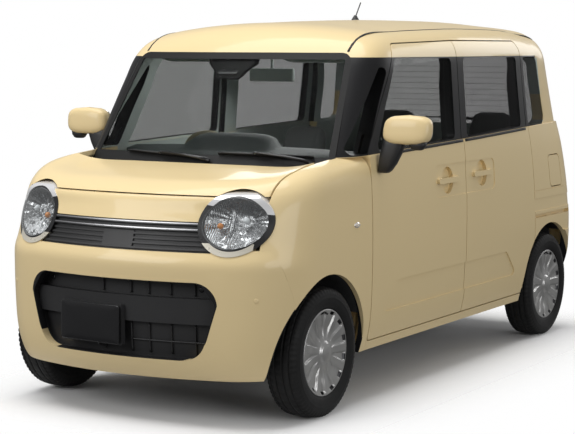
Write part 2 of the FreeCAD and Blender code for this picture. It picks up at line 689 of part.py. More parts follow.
pane = glasshouse_skin.panel(size.glass_inset, size.glass_inset + size.glass_thickness)
door_glass = pane.common(side_prism(front_window_line, -size.seat_gap))
sliding_glass = pane.common(side_prism(sliding_window_line, -size.seat_gap))
keep("front_door_glass_left", door_glass)
keep("front_door_glass_right", mirrored(door_glass))
keep("sliding_door_glass", both(sliding_glass))
fixed_panes = [pane.common(side_prism(line, -size.seat_gap)) for line in (corner_window_line, pane_line)]
keep("quarter_glass", both(Part.makeCompound(fixed_panes)))


# Front fenders, from the door to the bumper's seam and up to the bonnet.
screen_line_points = [
    (-size.screen_base_half_width, size.screen_base, 0),
    (size.screen_base_half_width, size.screen_base, 0),
    (size.screen_top_half_width, size.screen_top, size.screen_radius),
    (-size.screen_top_half_width, size.screen_top, size.screen_radius)]
screen_hole = front_prism(screen_line_points, size.seat_gap, far_front, -size.screen_head / 2)
screen_room = screen_skin.panel(-size.overrun / 2, size.screen_thickness + size.seat_gap)
screen_room = screen_room.common(screen_hole)
bonnet_plan = [
    (-size.bonnet_half_width, -size.bonnet_rear, 0), (size.bonnet_half_width, -size.bonnet_rear, 0),
    (size.bonnet_front_half_width, far_front, 0), (-size.bonnet_front_half_width, far_front, 0)]
lamp_seat = oval_prism(
    size.lamp_offset, size.lamp_height, size.lamp_half_width + size.lamp_gap,
    size.lamp_half_height + size.lamp_gap, far_front, front_axle)
fender_nose = -size.fender_nose
seam_height = size.bumper_top + size.grille_radius
fender_line = [
    (door_front - half_gap, size.sill_height, 0), (door_front - half_gap, belt(door_front), 0),
    (-size.screen_foot, belt(-size.screen_foot), 0), (-size.screen_foot, far_top, 0),
    (far_front, far_top, 0), (far_front, seam_height, 0), (fender_nose - size.overrun, seam_height, 0),
    (front_axle - 0.72 * size.front_arch_radius, size.arch_height + 0.6 * size.front_arch_radius, 0),
    (front_axle - 0.72 * size.front_arch_radius, size.sill_height, 0)]
fender = fender_skin.panel(0, size.fender_depth).common(side_prism(fender_line, 0, 0))
fender = fender.cut([
    plan_prism(bonnet_plan, size.shut_gap), front_arch, lamp_seat, screen_room,
    box((0, far_front, 0), (size.lamp_offset, fender_nose, far_top)),
    box((0, -size.bonnet_rear, 0), (size.bonnet_half_width + size.shut_gap, door_front, far_top))])
keep("front_fenders", both(fender))
fender_room = fender_skin.panel(-size.overrun, size.fender_depth + size.seat_gap)
fender_room = fender_room.common(side_prism(fender_line, size.seat_gap, 0))


def side_box(front, rear, base, top, inner=None):
    return side_prism([(front, base, 0), (rear, base, 0), (rear, top, 0), (front, top, 0)], 0, inner)


# The side frame: sill, pillars, roof rail, quarter panel and rear corner, pressed as one.
pillar_front = door_front - size.hinge_pillar_width
frame_base = [(pillar_front, size.sill_height, 0), (far_rear, size.sill_height, 0),
              (far_rear, belt(far_rear), 0), (pillar_front, belt(pillar_front), 0)]
lower_frame = flank_skin.panel(0, size.frame_depth).common(side_prism(frame_base, 0, 0))
upper_frame = glasshouse_skin.panel(0, size.upper_frame_depth)
above_fender = [(far_front, belt(far_front) + size.seat_gap, 0), (far_front, far_top, 0),
                (far_rear, far_top, 0), (far_rear, belt(far_rear) - lap, 0),
                (door_front, belt(door_front) - lap, 0),
                (door_front, belt(door_front) + size.seat_gap, 0)]
upper_frame = upper_frame.common(side_prism(above_fender, 0, 0))
lower_well = flank_skin.panel(-size.overrun / 2, size.door_well)
lower_well = lower_well.common(side_prism(both_doors_line, half_gap)).fuse(
    lower_well.common(side_box(pillar_front - size.overrun, door_front, 0, far_top)))
upper_well = glasshouse_skin.panel(-size.overrun / 2, size.upper_door_well)
upper_well = upper_well.common(side_prism(both_doors_line, half_gap))
front_hole_line = [
    (door_front + size.hinge_flange, size.door_bottom, size.door_corner_radius),
    (door_front + size.hinge_flange, size.door_shoulder, 2 * size.door_head_radius),
    front_door_line[2],
    (door_split - size.centre_pillar_width / 2 + size.frame_flange, size.door_top, 0),
    (door_split - size.centre_pillar_width / 2 + size.frame_flange, size.door_bottom, 0)]
rear_hole_line = [
    (door_split + size.centre_pillar_width / 2 - size.frame_flange, size.door_bottom, 0),
    (door_split + size.centre_pillar_width / 2 - size.frame_flange, size.door_top, 0)]
rear_hole_line += sliding_door_line[2:]
front_hole = side_prism(front_hole_line, -size.frame_flange, 0)
rear_hole = side_prism(rear_hole_line, -size.frame_flange, 0)
rear_hole = rear_hole.cut(across_cylinder(
    size.rear_arch_radius + size.frame_flange, 0, far_side, rear_axle, size.arch_height))
tailgate_line = [
    (-size.tailgate_base_half_width, size.tailgate_base, size.tailgate_radius),
    (size.tailgate_base_half_width, size.tailgate_base, size.tailgate_radius),
    (size.tailgate_half_width, size.tailgate_waist, 4 * size.tailgate_radius),
    (size.tailgate_top_half_width, far_top, 0),
    (-size.tailgate_top_half_width, far_top, 0),
    (-size.tailgate_half_width, size.tailgate_waist, 4 * size.tailgate_radius)]
tail_core = half_length - 0.22 * size.overall_height
tail_well = front_prism(tailgate_line, size.shut_gap, tail_core, far_rear)
tail_hole = front_prism(tailgate_line, -size.tail_frame_flange, rear_axle, far_rear)
tail_opening = tail_skin.panel(-size.overrun / 2, size.tailgate_depth + 2 * size.shut_gap)
tail_opening = tail_opening.common(tail_well)
roof_strip = box((-size.ditch_half_width - size.seat_gap, far_front, cabin_core_height),
                 (size.ditch_half_width + size.seat_gap, far_rear, far_top))
bumper_corner = side_box(rear_axle, far_rear, 0, size.rear_bumper_top + size.seat_gap, 0)
side_frame = lower_frame.cut([lower_well, rear_arch, bumper_corner, fender_room])
side_frame = side_frame.fuse(upper_frame.cut([upper_well, fender_room]))
side_frame = side_frame.cut([
    front_hole, rear_hole, side_prism(corner_window_line), side_prism(pane_line), screen_hole,
    tail_opening, tail_hole, roof_strip])

# Tail lamps, upright on the rear corners, let into the side frame.
tail_lamp_line = [
    (size.tail_lamp_inner, size.tail_lamp_base, size.tail_lamp_radius),
    (size.tail_lamp_outer, size.tail_lamp_base, size.tail_lamp_radius),
    (size.tail_lamp_outer, size.tail_lamp_top, size.tail_lamp_radius),
    (size.tail_lamp_inner, size.tail_lamp_top, size.tail_lamp_radius)]
tail_lamp = flank_skin.panel(-size.lamp_proud / 2, size.tail_lamp_depth).common(
    front_prism(tail_lamp_line, 0, tail_core, far_rear))
tail_lamp_well = flank_skin.panel(-size.overrun / 2, size.tail_lamp_depth + size.seat_gap).common(
    front_prism(tail_lamp_line, size.seat_gap, tail_core, far_rear))
side_frame = side_frame.cut(tail_lamp_well)
rail_end = rear_axle + size.slide_slot_end
rail_slot = flank_skin.panel(-size.overrun / 2, size.slide_slot_depth).common(side_prism(along_box(
    slide_rear + half_gap, rail_end, size.slide_slot_height - size.slide_slot_width / 2,
    size.slide_slot_height + size.slide_slot_width / 2)))
ledge_room = flank_skin.panel(-size.overrun / 2, size.ledge_depth)
ledge = ledge_room.common(side_prism(along_box(
    slide_rear + half_gap, far_rear, size.ledge_base, size.ledge_top)))
groove = ledge_room.common(side_prism(along_box(
    slide_rear + half_gap, far_rear, size.groove_height, size.groove_height + size.groove_width)))
side_frame = side_frame.cut([rail_slot, ledge, groove])
keep("tail_lamps", both(tail_lamp))

# The rubber seals on the flanges that the doors close against.
below_lap = below_belt.copy()
below_lap.translate(Vector(0, 0, -lap - size.seat_gap))
over_belt = above_belt.copy()
over_belt.translate(Vector(0, 0, lap + size.seat_gap))


def seal(hole, grow_line):
    """Ring of rubber round one door opening, a hair's breadth short of the door."""
    lower = flank_skin.panel(size.door_depth + size.seat_gap, size.door_well).common(below_lap)
    upper = glasshouse_skin.panel(size.upper_door_depth + size.seat_gap, size.upper_door_well)
    lower_ring = lower.common(grow_line).cut(hole)
    upper_ring = upper.common(over_belt).common(grow_line).cut(hole)
    return Part.makeCompound(solids_of(lower_ring) + solids_of(upper_ring))


front_seal = seal(front_hole, side_prism(front_hole_line, size.seal_width - size.frame_flange, 0))
rear_seal = seal(rear_hole, side_prism(rear_hole_line, size.seal_width - size.frame_flange, 0).cut(
    across_cylinder(size.rear_arch_radius + size.frame_flange - size.seal_width, 0, far_side, rear_axle,
                    size.arch_height)))
tail_ring = tail_skin.panel(size.tailgate_depth + size.seat_gap, size.tailgate_depth + 2 * size.shut_gap)
tail_ring = tail_ring.common(front_prism(
    tailgate_line, size.seal_width - size.tail_frame_flange,
    size.roof_rear + size.frame_flange, far_rear))
tail_ring = tail_ring.cut(tail_hole)
keep("door_seals", Part.makeCompound(
    solids_of(both(Part.makeCompound([front_seal, rear_seal]))) + solids_of(tail_ring)))

# The fuel flap and its well, in the left rear quarter panel.
flap_middle = rear_axle + size.flap_from_axle
flap_line = [
    (flap_middle - size.flap_size / 2, size.flap_height - size.flap_size / 2, size.flap_radius),
    (flap_middle + size.flap_size / 2, size.flap_height - size.flap_size / 2, size.flap_radius),
    (flap_middle + size.flap_size / 2, size.flap_height + size.flap_size / 2, size.flap_radius),
    (flap_middle - size.flap_size / 2, size.flap_height + size.flap_size / 2, size.flap_radius)]
flap_well = flank_skin.panel(-size.overrun / 2, size.flap_well)
flap_well = flap_well.common(side_prism(flap_line, size.shut_gap))
flap_buffer = across_cylinder(size.flap_radius / 3, 0, far_side, flap_middle + size.flap_size / 4,
                              size.flap_height)
flap_buffer = flap_buffer.common(flank_skin.panel(size.flap_depth + size.seat_gap, size.flap_well))
keep("side_frame_left", side_frame.cut(flap_well).fuse(flap_buffer))
keep("side_frame_right", mirrored(side_frame))
keep("fuel_flap", flank_skin.panel(0, size.flap_depth).common(side_prism(flap_line)))

# The roof skin between the two ditches, from the windscreen's head to the tailgate's seam.
roof = roof_skin.panel(0, size.roof_depth)
roof = roof.common(box((-size.ditch_half_width, far_front, 0),
                       (size.ditch_half_width, size.roof_rear, far_top)))
keep("roof", roof.cut(screen_hole))

windscreen = screen_skin.panel(0, size.screen_thickness).common(
    front_prism(screen_line_points, 0, far_front, -size.screen_head / 2))
keep("windscreen", windscreen)

# The tailgate with its window.
tail_window_line = [
    (-size.tail_window_half_width, size.tail_window_base, size.tail_window_radius),
    (size.tail_window_half_width, size.tail_window_base, size.tail_window_radius),
    (size.tail_window_top_half_width, size.tail_window_top, size.tail_window_radius),
    (-size.tail_window_top_half_width, size.tail_window_top, size.tail_window_radius)]
tailgate = tail_skin.panel(0, size.tailgate_depth).common(
    front_prism(tailgate_line, 0, size.tailgate_seam, far_rear))
tailgate = tailgate.cut(front_prism(tail_window_line, 0, tail_core, far_rear))
recess_line = [
    (-size.rear_recess_half_width, size.rear_recess_base, size.patch_radius),
    (size.rear_recess_half_width, size.rear_recess_base, size.patch_radius),
    (size.rear_recess_half_width, size.rear_recess_top, size.patch_radius),
    (-size.rear_recess_half_width, size.rear_recess_top, size.patch_radius)]
recess = tail_skin.panel(-size.overrun / 2, size.rear_recess_depth).common(
    front_prism(recess_line, 0, tail_core, far_rear))
garnish_line = [
    (-size.rear_recess_half_width, size.rear_recess_top - size.garnish_height, size.handle_foot),
    (size.rear_recess_half_width, size.rear_recess_top - size.garnish_height, size.handle_foot),
    (size.rear_recess_half_width, size.rear_recess_top, size.handle_foot),
    (-size.rear_recess_half_width, size.rear_recess_top, size.handle_foot)]
garnish = tail_skin.panel(-size.handle_foot, 2 * size.rear_recess_depth).common(
    front_prism(garnish_line, 0, tail_core, far_rear))
keep("tailgate", tailgate.cut(recess).fuse(garnish))
tail_pane = tail_skin.panel(size.glass_inset, size.glass_inset + size.glass_thickness)
keep("tailgate_glass", tail_pane.common(
    front_prism(tail_window_line, -size.seat_gap, tail_core, far_rear)))

# The bonnet, down to the lip over the nose panel and the upper edges of the lamps.
lamp_well = oval_prism(
    size.lamp_offset, size.lamp_height, size.lamp_half_width + size.shut_gap,
    size.lamp_half_height + size.shut_gap, far_front, front_axle)
bonnet = bonnet_skin.panel(0, size.bonnet_depth).common(plan_prism(bonnet_plan))
bonnet = bonnet.cut([
    box((-far_side, far_front, 0), (far_side, front_axle, size.bonnet_lip)),
    lamp_well, mirrored(lamp_well)])
keep("bonnet", bonnet)


# The bumper and the panel over the grille.
mouth_line = [
    (-size.mouth_base_half_width, size.mouth_base, size.mouth_radius),
    (size.mouth_base_half_width, size.mouth_base, size.mouth_radius),
    (size.mouth_half_width, size.mouth_middle, size.mouth_radius / 2),
    (size.mouth_top_half_width, size.mouth_top, size.mouth_radius / 2),
    (-size.mouth_top_half_width, size.mouth_top, size.mouth_radius / 2),
    (-size.mouth_half_width, size.mouth_middle, size.mouth_radius / 2)]
bumper_line = [
    (-far_side, size.bumper_base, 0), (far_side, size.bumper_base, 0), (far_side, seam_height, 0),
    (size.lamp_offset - size.lamp_half_width / 2, seam_height, 0),
    (size.lamp_offset - size.lamp_half_width / 2, size.bumper_top, 0),
    (size.lamp_half_width / 2 - size.lamp_offset, size.bumper_top, 0),
    (size.lamp_half_width / 2 - size.lamp_offset, seam_height, 0), (-far_side, seam_height, 0)]
fender_side = side_prism(fender_line, size.seat_gap, 0)
bumper = nose_skin.panel(0, size.bumper_depth).common(front_prism(bumper_line))
bumper = bumper.cut([
    fender_side, mirrored(fender_side), front_arch, mirrored(front_arch), lamp_seat,
    mirrored(lamp_seat), front_prism(mouth_line),
    box((-far_side, door_front - size.front_arch_radius, 0), (far_side, 0, far_top))])
keep("front_bumper", bumper)
nose_panel = nose_skin.panel(0, size.bumper_depth).common(box(
    (-size.lamp_offset, far_front, size.nose_panel_base),
    (size.lamp_offset, front_axle, size.bonnet_lip - size.shut_gap)))
nose_panel = nose_panel.cut([lamp_seat, mirrored(lamp_seat)])
keep("nose_panel", nose_panel)

# The slatted upper grille between the lamps, with two bright bars.
grille_reach = size.lamp_offset - size.lamp_half_width / 2 - size.seat_gap
grille_zone = box((-grille_reach, far_front, size.bumper_top + size.seat_gap),
                  (grille_reach, front_axle, size.nose_panel_base - size.seat_gap))
grille = nose_skin.panel(size.grille_depth, size.grille_depth + size.grille_thickness)
grille = grille.common(grille_zone).cut([lamp_seat, mirrored(lamp_seat)])
slats = []
for k in range(int(size.slat_count)):
    level = size.bumper_top + size.slat_height + k * size.slat_pitch
    slats.append(box((-far_side, far_front, level), (far_side, front_axle, level + size.slat_height)))
slats.append(box((-size.grille_block_half_width, far_front, size.bumper_top + size.slat_height),
                 (size.grille_block_half_width, front_axle, size.bar_base - size.slat_height)))
slat_layer = nose_skin.panel(2 * size.bar_proud, size.grille_depth + size.bar_proud).common(grille_zone)
slat_layer = slat_layer.common(slats[0].fuse(slats[1:])).cut([lamp_seat, mirrored(lamp_seat)])
keep("upper_grille", grille.fuse(slat_layer))
bar_layer = nose_skin.panel(-size.bar_proud, size.grille_depth - size.seat_gap)
bars = [box((-size.grille_half_width, far_front, size.bar_base + k * size.bar_pitch),
            (size.grille_half_width, front_axle, size.bar_base + k * size.bar_pitch + size.bar_height))
        for k in range(2)]
bars = bar_layer.common(Part.makeCompound(bars)).cut([lamp_seat, mirrored(lamp_seat)])
keep("grille_bars", Part.makeCompound(solids_of(bars)))

# The panel behind the mouth, with its wide middle bar.
mouth_inside = nose_skin.panel(size.bumper_depth, size.mouth_depth + size.mouth_panel_thickness)
mouth_inside = mouth_inside.common(front_prism(mouth_line, 2 * size.grille_radius))
mouth_hollow = nose_skin.panel(0, size.mouth_depth).common(front_prism(mouth_line))
mouth_inside = mouth_inside.cut(mouth_hollow)
rib_layer = nose_skin.panel(size.mouth_depth - size.rib_proud, size.mouth_depth + size.rib_thickness)
ribs = [box((across_place - size.rib_thickness / 2, far_front, size.mouth_base),
            (across_place + size.rib_thickness / 2, front_axle, size.mouth_top))
        for across_place in (k * size.rib_pitch for k in (-2, -1, 0, 1, 2))]
ribs += [box((-far_side, far_front, level), (far_side, front_axle, level + size.rib_thickness))
         for level in (size.mouth_base + size.rib_raise, size.mouth_top - size.rib_raise)]
ribs = rib_layer.common(Part.makeCompound(ribs)).common(front_prism(mouth_line, -size.seat_gap))
beam_line = [
    (-size.mouth_half_width, size.mouth_bar_centre - size.mouth_bar_height / 2, size.grille_radius),
    (size.mouth_half_width, size.mouth_bar_centre - size.mouth_bar_height / 2, size.grille_radius),
    (size.mouth_half_width, size.mouth_bar_centre + size.mouth_bar_height / 2, size.grille_radius),
    (-size.mouth_half_width, size.mouth_bar_centre + size.mouth_bar_height / 2, size.grille_radius)]
beam = nose_skin.panel(size.mouth_depth - size.mouth_bar_proud, size.mouth_depth + size.rib_thickness)
beam = beam.common(front_prism(beam_line)).common(front_prism(mouth_line, -size.seat_gap))
plate = front_prism([
    (-size.plate_width / 2, -size.plate_height / 2, size.grille_radius / 2),
    (size.plate_width / 2, -size.plate_height / 2, size.grille_radius / 2),
    (size.plate_width / 2, size.plate_height / 2, size.grille_radius / 2),
    (-size.plate_width / 2, size.plate_height / 2, size.grille_radius / 2)], 0, 0, size.plate_thickness)
plate_turn = 2 * size.front_bow * size.plate_offset / size.bow_reach**2
plate.rotate(Vector(0, 0, 0), Vector(0, 0, 1), -math.degrees(math.atan(plate_turn)))
plate.translate(Vector(-size.plate_offset, size.plate_setback - half_length, size.plate_centre))
keep("lower_grille", mouth_inside.fuse(solids_of(ribs) + solids_of(beam) + [plate]))

# Headlamps: a bezel round an oval lens.
lamp_oval = oval_prism(
    size.lamp_offset, size.lamp_height, size.lamp_half_width, size.lamp_half_height,
    far_front, front_axle)
lens_oval = oval_prism(
    size.lamp_offset, size.lamp_height, size.lens_half_width, size.lens_half_height,
    far_front, front_axle)
lens_seat = oval_prism(
    size.lamp_offset, size.lamp_height, size.lens_half_width + size.seat_gap,
    size.lens_half_height + size.seat_gap, far_front, front_axle)

bezel = nose_skin.panel(-size.lamp_proud, size.lamp_depth).common(lamp_oval).cut(lens_seat)
lens = nose_skin.panel(-size.lens_proud, size.lamp_depth).common(lens_oval)
keep("headlamp_bezels", both(bezel))
keep("headlamp_lenses", both(lens))

# What fits against the curved body is trimmed to it, a hair's breadth away.
flank_room = flank_skin.panel(-size.overrun / 2, size.frame_depth + size.seat_gap)
glass_room = glasshouse_skin.panel(-size.overrun / 2, size.upper_frame_depth + size.seat_gap)
fender_face = fender_skin.panel(-size.overrun / 2, size.fender_depth + size.seat_gap)
nose_face = nose_skin.panel(
    -size.overrun / 2, size.mouth_depth + size.mouth_panel_thickness + size.seat_gap)
tail_face = lower_tail_skin.panel(-size.overrun / 2, size.rear_bumper_depth + size.seat_gap)


def trimmed(shape, *rooms):
    return shape.cut([room for one in rooms for room in (one, mirrored(one))])


# The rear bumper, from arch to arch under the tailgate.
rear_bumper_line = [
    (-far_side, size.rear_bumper_base, 0), (far_side, size.rear_bumper_base, 0),
    (far_side, size.rear_bumper_top, 0),
    (size.tailgate_base_half_width + size.tail_frame_flange, size.rear_bumper_top, 0),
    (size.tailgate_base_half_width + size.tail_frame_flange, size.tailgate_base - size.shut_gap, 0),
    (-size.tailgate_base_half_width - size.tail_frame_flange, size.tailgate_base - size.shut_gap, 0),
    (-size.tailgate_base_half_width - size.tail_frame_flange, size.rear_bumper_top, 0),
    (-far_side, size.rear_bumper_top, 0)]
rear_bumper = lower_tail_skin.panel(0, size.rear_bumper_depth)
rear_bumper = rear_bumper.common(front_prism(rear_bumper_line, 0, rear_axle, far_rear))
keep("rear_bumper", rear_bumper.cut([rear_arch, mirrored(rear_arch)]))

# The floor: a plate with a tunnel, the bulkhead, a raised rear floor and the wheel houses.
floor_top = size.floor_height + size.floor_thickness
rear_floor_top = size.rear_floor_height + size.floor_thickness
bulkhead = front_axle + size.bulkhead_from_axle
bulkhead_rear = bulkhead + size.bulkhead_thickness
step = rear_axle - size.rear_floor_front
tail_panel = half_length - 2 * size.rear_bumper_depth
wide = half_width - size.overrun / 2
floor = box((-wide, bulkhead, size.floor_height), (wide, step + size.floor_thickness, floor_top))
floor = floor.fuse([
    box((-wide, step, size.floor_height), (wide, step + size.floor_thickness, rear_floor_top)),
    box((-wide, step, size.rear_floor_height), (wide, far_rear, rear_floor_top)),
    box((-wide, bulkhead, size.floor_height), (wide, bulkhead_rear, size.screen_base - size.cowl_depth)),
    box((-wide, tail_panel, size.sill_height + size.floor_thickness),
        (wide, far_rear, rear_floor_top)),
    box((-size.tunnel_width / 2, bulkhead, floor_top),
        (size.tunnel_width / 2, step, floor_top + size.tunnel_height / 2))])


def wheel_house(axle, radius, inner, far_edge):
    """Curved liner over a wheel, with its inner wall, and the room that it leaves."""
    outside = across_cylinder(radius + size.house_thickness, inner - size.house_thickness, far_edge, axle,
                              size.arch_height)
    outside = outside.common(box((0, axle - 2 * radius, size.sill_height),
                                 (far_edge, axle + 2 * radius, far_top)))
    return outside, across_cylinder(radius, inner, far_edge, axle, size.arch_height)


front_house, front_room = wheel_house(
    front_axle, size.front_arch_radius, size.house_inner, half_width)
rear_house, rear_room = wheel_house(
    rear_axle, size.rear_arch_radius, size.rear_house_inner, half_width)
strut_top = Vector(size.strut_top_offset, front_axle, size.strut_top_height)
tower_top = size.strut_top_height + size.house_thickness
tower = Part.makeCylinder(
    size.strut_tower_radius + size.house_thickness, tower_top - size.arch_height,
    Vector(size.strut_top_offset, front_axle, size.arch_height))
tower_room = Part.makeCylinder(
    size.strut_tower_radius, size.strut_top_height - size.arch_height,
    Vector(size.strut_top_offset, front_axle, size.arch_height))
floor = floor.fuse([rear_house, mirrored(rear_house), front_house, mirrored(front_house),
                    tower, mirrored(tower)])
rooms = [rear_room, front_room, tower_room]
floor = floor.cut(rooms + [mirrored(room) for room in rooms])
stub_hole = across_cylinder(size.drum_radius / 2, 0, half_width, rear_axle, size.tyre_radius)
floor = trimmed(floor, flank_room, fender_face, stub_hole).cut([tail_face, nose_face, tail_opening])
keep("floor_pan", max(floor.Solids, key=lambda solid: solid.Volume))

# The cowl under the windscreen's lower edge.
cowl_rear = bulkhead_rear + size.floor_thickness
cowl = box((-wide, half_gap * 2 - size.bonnet_rear, size.screen_base - size.cowl_depth),
           (wide, cowl_rear, size.screen_base - size.seat_gap))
cowl = trimmed(cowl, flank_room, fender_face, glass_room)
keep("cowl", max(cowl.Solids, key=lambda solid: solid.Volume))

# Front structure: two rails, the radiator support and the rubber buffers under the bonnet.
rail_top = size.rail_base + size.rail_height
rail_inner = size.rail_offset - size.rail_width / 2
rail_outer = size.rail_offset + size.rail_width / 2
support = -half_length + size.radiator_from_nose
support_rear = support + size.rail_width
lock_height = size.bonnet_lip - size.rail_height
structure = []
for side in (-1, 1):
    edges = sorted((side * rail_inner, side * rail_outer))
    structure.append(box((edges[0], far_front, size.rail_base),
                         (edges[1], bulkhead - size.seat_gap, rail_top)))
    structure.append(box((edges[0], support, size.rail_base), (edges[1], support_rear, lock_height)))
    structure.append(Part.makeCylinder(
        size.rail_width / 4, size.rail_height + size.bonnet_lip - lock_height,
        Vector(side * size.rail_offset, support + size.rail_width / 2, lock_height)))
structure.append(box((-rail_outer, support, size.rail_base - size.rail_width),
                     (rail_outer, support_rear, size.rail_base)))
structure.append(box((-rail_outer, support, lock_height - size.rail_width / 2),
                     (rail_outer, support_rear, lock_height)))
structure = structure[0].fuse(structure[1:])
bonnet_face = bonnet_skin.panel(-size.overrun, size.bonnet_depth + size.seat_gap)
structure = structure.cut([
    nose_face.common(box((-far_side, far_front, 0), (far_side, 0, lock_height))), bonnet_face])
keep("front_structure", max(structure.Solids, key=lambda solid: solid.Volume))

# The dashboard, one moulding from door to door behind the bulkhead.
dash_rear = front_axle + size.dash_rear_from_axle
dash_line = [
    (bulkhead_rear + size.seat_gap, size.dash_base, 0),
    (bulkhead_rear + size.seat_gap, size.screen_base - size.cowl_depth, 0),
    (cowl_rear + size.seat_gap, size.screen_base - size.cowl_depth, 0),
    (cowl_rear + size.seat_gap, size.dash_top, size.dash_radius / 3),
    (dash_rear - size.dash_radius, size.dash_top, size.dash_radius),
    (dash_rear, (size.dash_top + size.dash_base) / 2, size.dash_radius),
    (dash_rear - 2 * size.dash_radius, size.dash_base, size.dash_radius)]
dash_face = Part.Face(outline(dash_line, lambda p: Vector(-wide, p.x, p.y)))
dash = trimmed(dash_face.extrude(Vector(2 * wide, 0, 0)), flank_room, glass_room)
dash = dash.common(box((-wide, far_front, 0), (wide, 0, far_top)))
dash = max(dash.Solids, key=lambda solid: solid.Volume)

# The steering column stands out of the dashboard towards the driver, on the right.
rake = math.radians(size.steering_rake)
steering_way = Vector(0, math.cos(rake), math.sin(rake))
steering_centre = Vector(-size.wheel_offset, front_axle + size.steering_from_axle, size.steering_height)
column_end = steering_centre - steering_way * size.steering_hub_depth
column = Part.makeCylinder(size.column_radius, size.column_length,
                           column_end - steering_way * (size.column_length + size.seat_gap), steering_way)
keep("dashboard", dash)
keep("steering_column", column.cut(dash))
hub = Part.makeCylinder(size.steering_hub_radius, size.steering_hub_depth, column_end, steering_way)
thickness = size.steering_ring_thickness
ring = Part.makeTorus(size.steering_ring_radius, thickness, steering_centre, steering_way)
spoke = Part.makeBox(2 * size.steering_ring_radius, 3 * thickness, thickness)
spoke.translate(Vector(-size.steering_ring_radius, -1.5 * thickness, -thickness))
spoke.rotate(Vector(0, 0, 0), Vector(1, 0, 0), size.steering_rake - 90)
spoke.translate(steering_centre)
keep("steering_wheel", ring.fuse([hub, spoke]))

# Seats: each cushion, back and head rest is one padded block, on a plain frame.
seat_front = front_axle + size.seat_front_from_axle
seat_rear = seat_front + size.seat_length


def pad(width, length, height, radius):
    """Padded block with rounded edges, standing on its middle."""
    block = Part.makeBox(width, length, height, Vector(-width / 2, 0, 0))
    return block.makeFillet(radius, block.Edges)


def seat_back(width, height, offset, foot, base):
    """Back and head rest leaning rearwards from the hinge at its foot."""
    back = pad(width, size.seat_back_thickness, height, size.seat_radius)
    back.rotate(Vector(0, 0, 0), Vector(1, 0, 0), -size.seat_back_lean)
    back.translate(Vector(offset, foot, base))
    return back


def head_rest(height, offset, foot, base):
    rest = pad(size.head_rest_width, size.head_rest_thickness, size.head_rest_height, size.seat_radius)
    rest.translate(Vector(0, (size.seat_back_thickness - size.head_rest_thickness) / 2,
                          height + size.head_rest_gap))
    posts = [Part.makeCylinder(size.post_radius, size.head_rest_gap,
                               Vector(spread, size.seat_back_thickness / 2, height + size.seat_gap / 2))
             for spread in (-size.post_spread, size.post_spread)]
    whole = rest.fuse(posts)
    whole.rotate(Vector(0, 0, 0), Vector(1, 0, 0), -size.seat_back_lean)
    whole.translate(Vector(offset, foot, base))
    return whole


def bracket(back, foot, offset, base, top):
    """Block under a back's lower edge, a hair's breadth below it."""
    room = back.copy()
    room.translate(Vector(0, 0, -size.seat_gap))
    block = box((offset - size.seat_width / 4, foot + size.seat_radius, base),
                (offset + size.seat_width / 4, foot + size.seat_back_thickness, top))
    return min(block.cut(room).Solids, key=lambda solid: solid.CenterOfMass.z)


back_base = size.seat_base + size.seat_radius
cushions = []
backs = []
rests = []
frames = []
for offset in (-size.seat_offset, size.seat_offset):
    cushion = pad(size.seat_width, size.seat_length, size.seat_thickness, size.seat_radius)
    cushion.translate(Vector(offset, seat_front, size.seat_base))
    cushions.append(cushion)
    foot = seat_rear + size.seat_gap + size.seat_radius / 3
    back = seat_back(size.seat_width, size.seat_back_height, offset, foot, back_base)
    backs.append(back)
    rests.append(head_rest(size.seat_back_height, offset, foot, back_base))
    reach = size.seat_width / 2 - 2 * size.seat_radius
    runner = box(
        (offset - reach, seat_front + 2 * size.seat_radius, floor_top + size.seat_gap),
        (offset + reach, seat_rear + size.seat_back_thickness, size.seat_base - size.seat_gap))
    frames.append(runner.fuse(
        bracket(back, foot, offset, size.seat_base - size.seat_radius, back_base)))
keep("front_seat_cushions", Part.makeCompound(cushions))
keep("front_seat_backs", Part.makeCompound(backs))
rear_seat_front = rear_axle - size.rear_seat_from_axle
rear_cushion = pad(size.rear_seat_width, size.rear_seat_length, size.rear_seat_thickness, size.seat_radius)
rear_cushion.translate(Vector(0, rear_seat_front, rear_floor_top + size.seat_gap))
rear_foot = rear_seat_front + size.rear_seat_length + size.seat_gap + size.seat_radius / 3
rear_base = rear_floor_top + size.seat_radius
keep("rear_seat_cushion", rear_cushion)
rear_back = seat_back(size.rear_seat_width, size.rear_seat_back_height, 0, rear_foot, rear_base)
keep("rear_seat_back", rear_back)
frames.append(bracket(rear_back, rear_foot, 0, rear_floor_top + size.seat_gap, rear_base))
for offset in (-size.seat_offset, size.seat_offset):
    rests.append(head_rest(size.rear_seat_back_height, offset, rear_foot, rear_base))
keep("head_rests", Part.makeCompound(rests))
keep("seat_frames", Part.makeCompound(frames))

# Engine, radiator, tank and exhaust as plain blocks at their real places.
engine_middle = front_axle + size.engine_from_axle
subframe_top = size.subframe_base + size.subframe_height
keep("engine_block", box(
    (-size.engine_width / 2, engine_middle - size.engine_length / 2, subframe_top + size.seat_gap),
    (size.engine_width / 2, engine_middle + size.engine_length / 2, subframe_top + size.engine_height)))
keep("radiator", box(
    (-size.radiator_width / 2, support + size.rail_width / 4, size.rail_base + size.seat_gap),
    (size.radiator_width / 2, support + size.rail_width / 4 + size.radiator_thickness,
     size.rail_base + size.radiator_height)))
tank_front = step + 1.5 * size.floor_thickness
keep("fuel_tank", box(
    (size.seat_gap, tank_front, size.rear_floor_height - size.tank_height - size.seat_gap),
    (size.tank_width / 2, tank_front + size.tank_length, size.rear_floor_height - size.seat_gap)))
pipe_height = size.floor_height - size.pipe_radius - size.seat_gap
pipe_offset = -size.tunnel_width
pipe_front = front_axle + size.subframe_length / 2
silencer_front = rear_axle + size.beam_width
pipe = Part.makeCylinder(size.pipe_radius, silencer_front - pipe_front + size.beam_width,
                         Vector(pipe_offset, pipe_front, pipe_height), Vector(0, 1, 0))
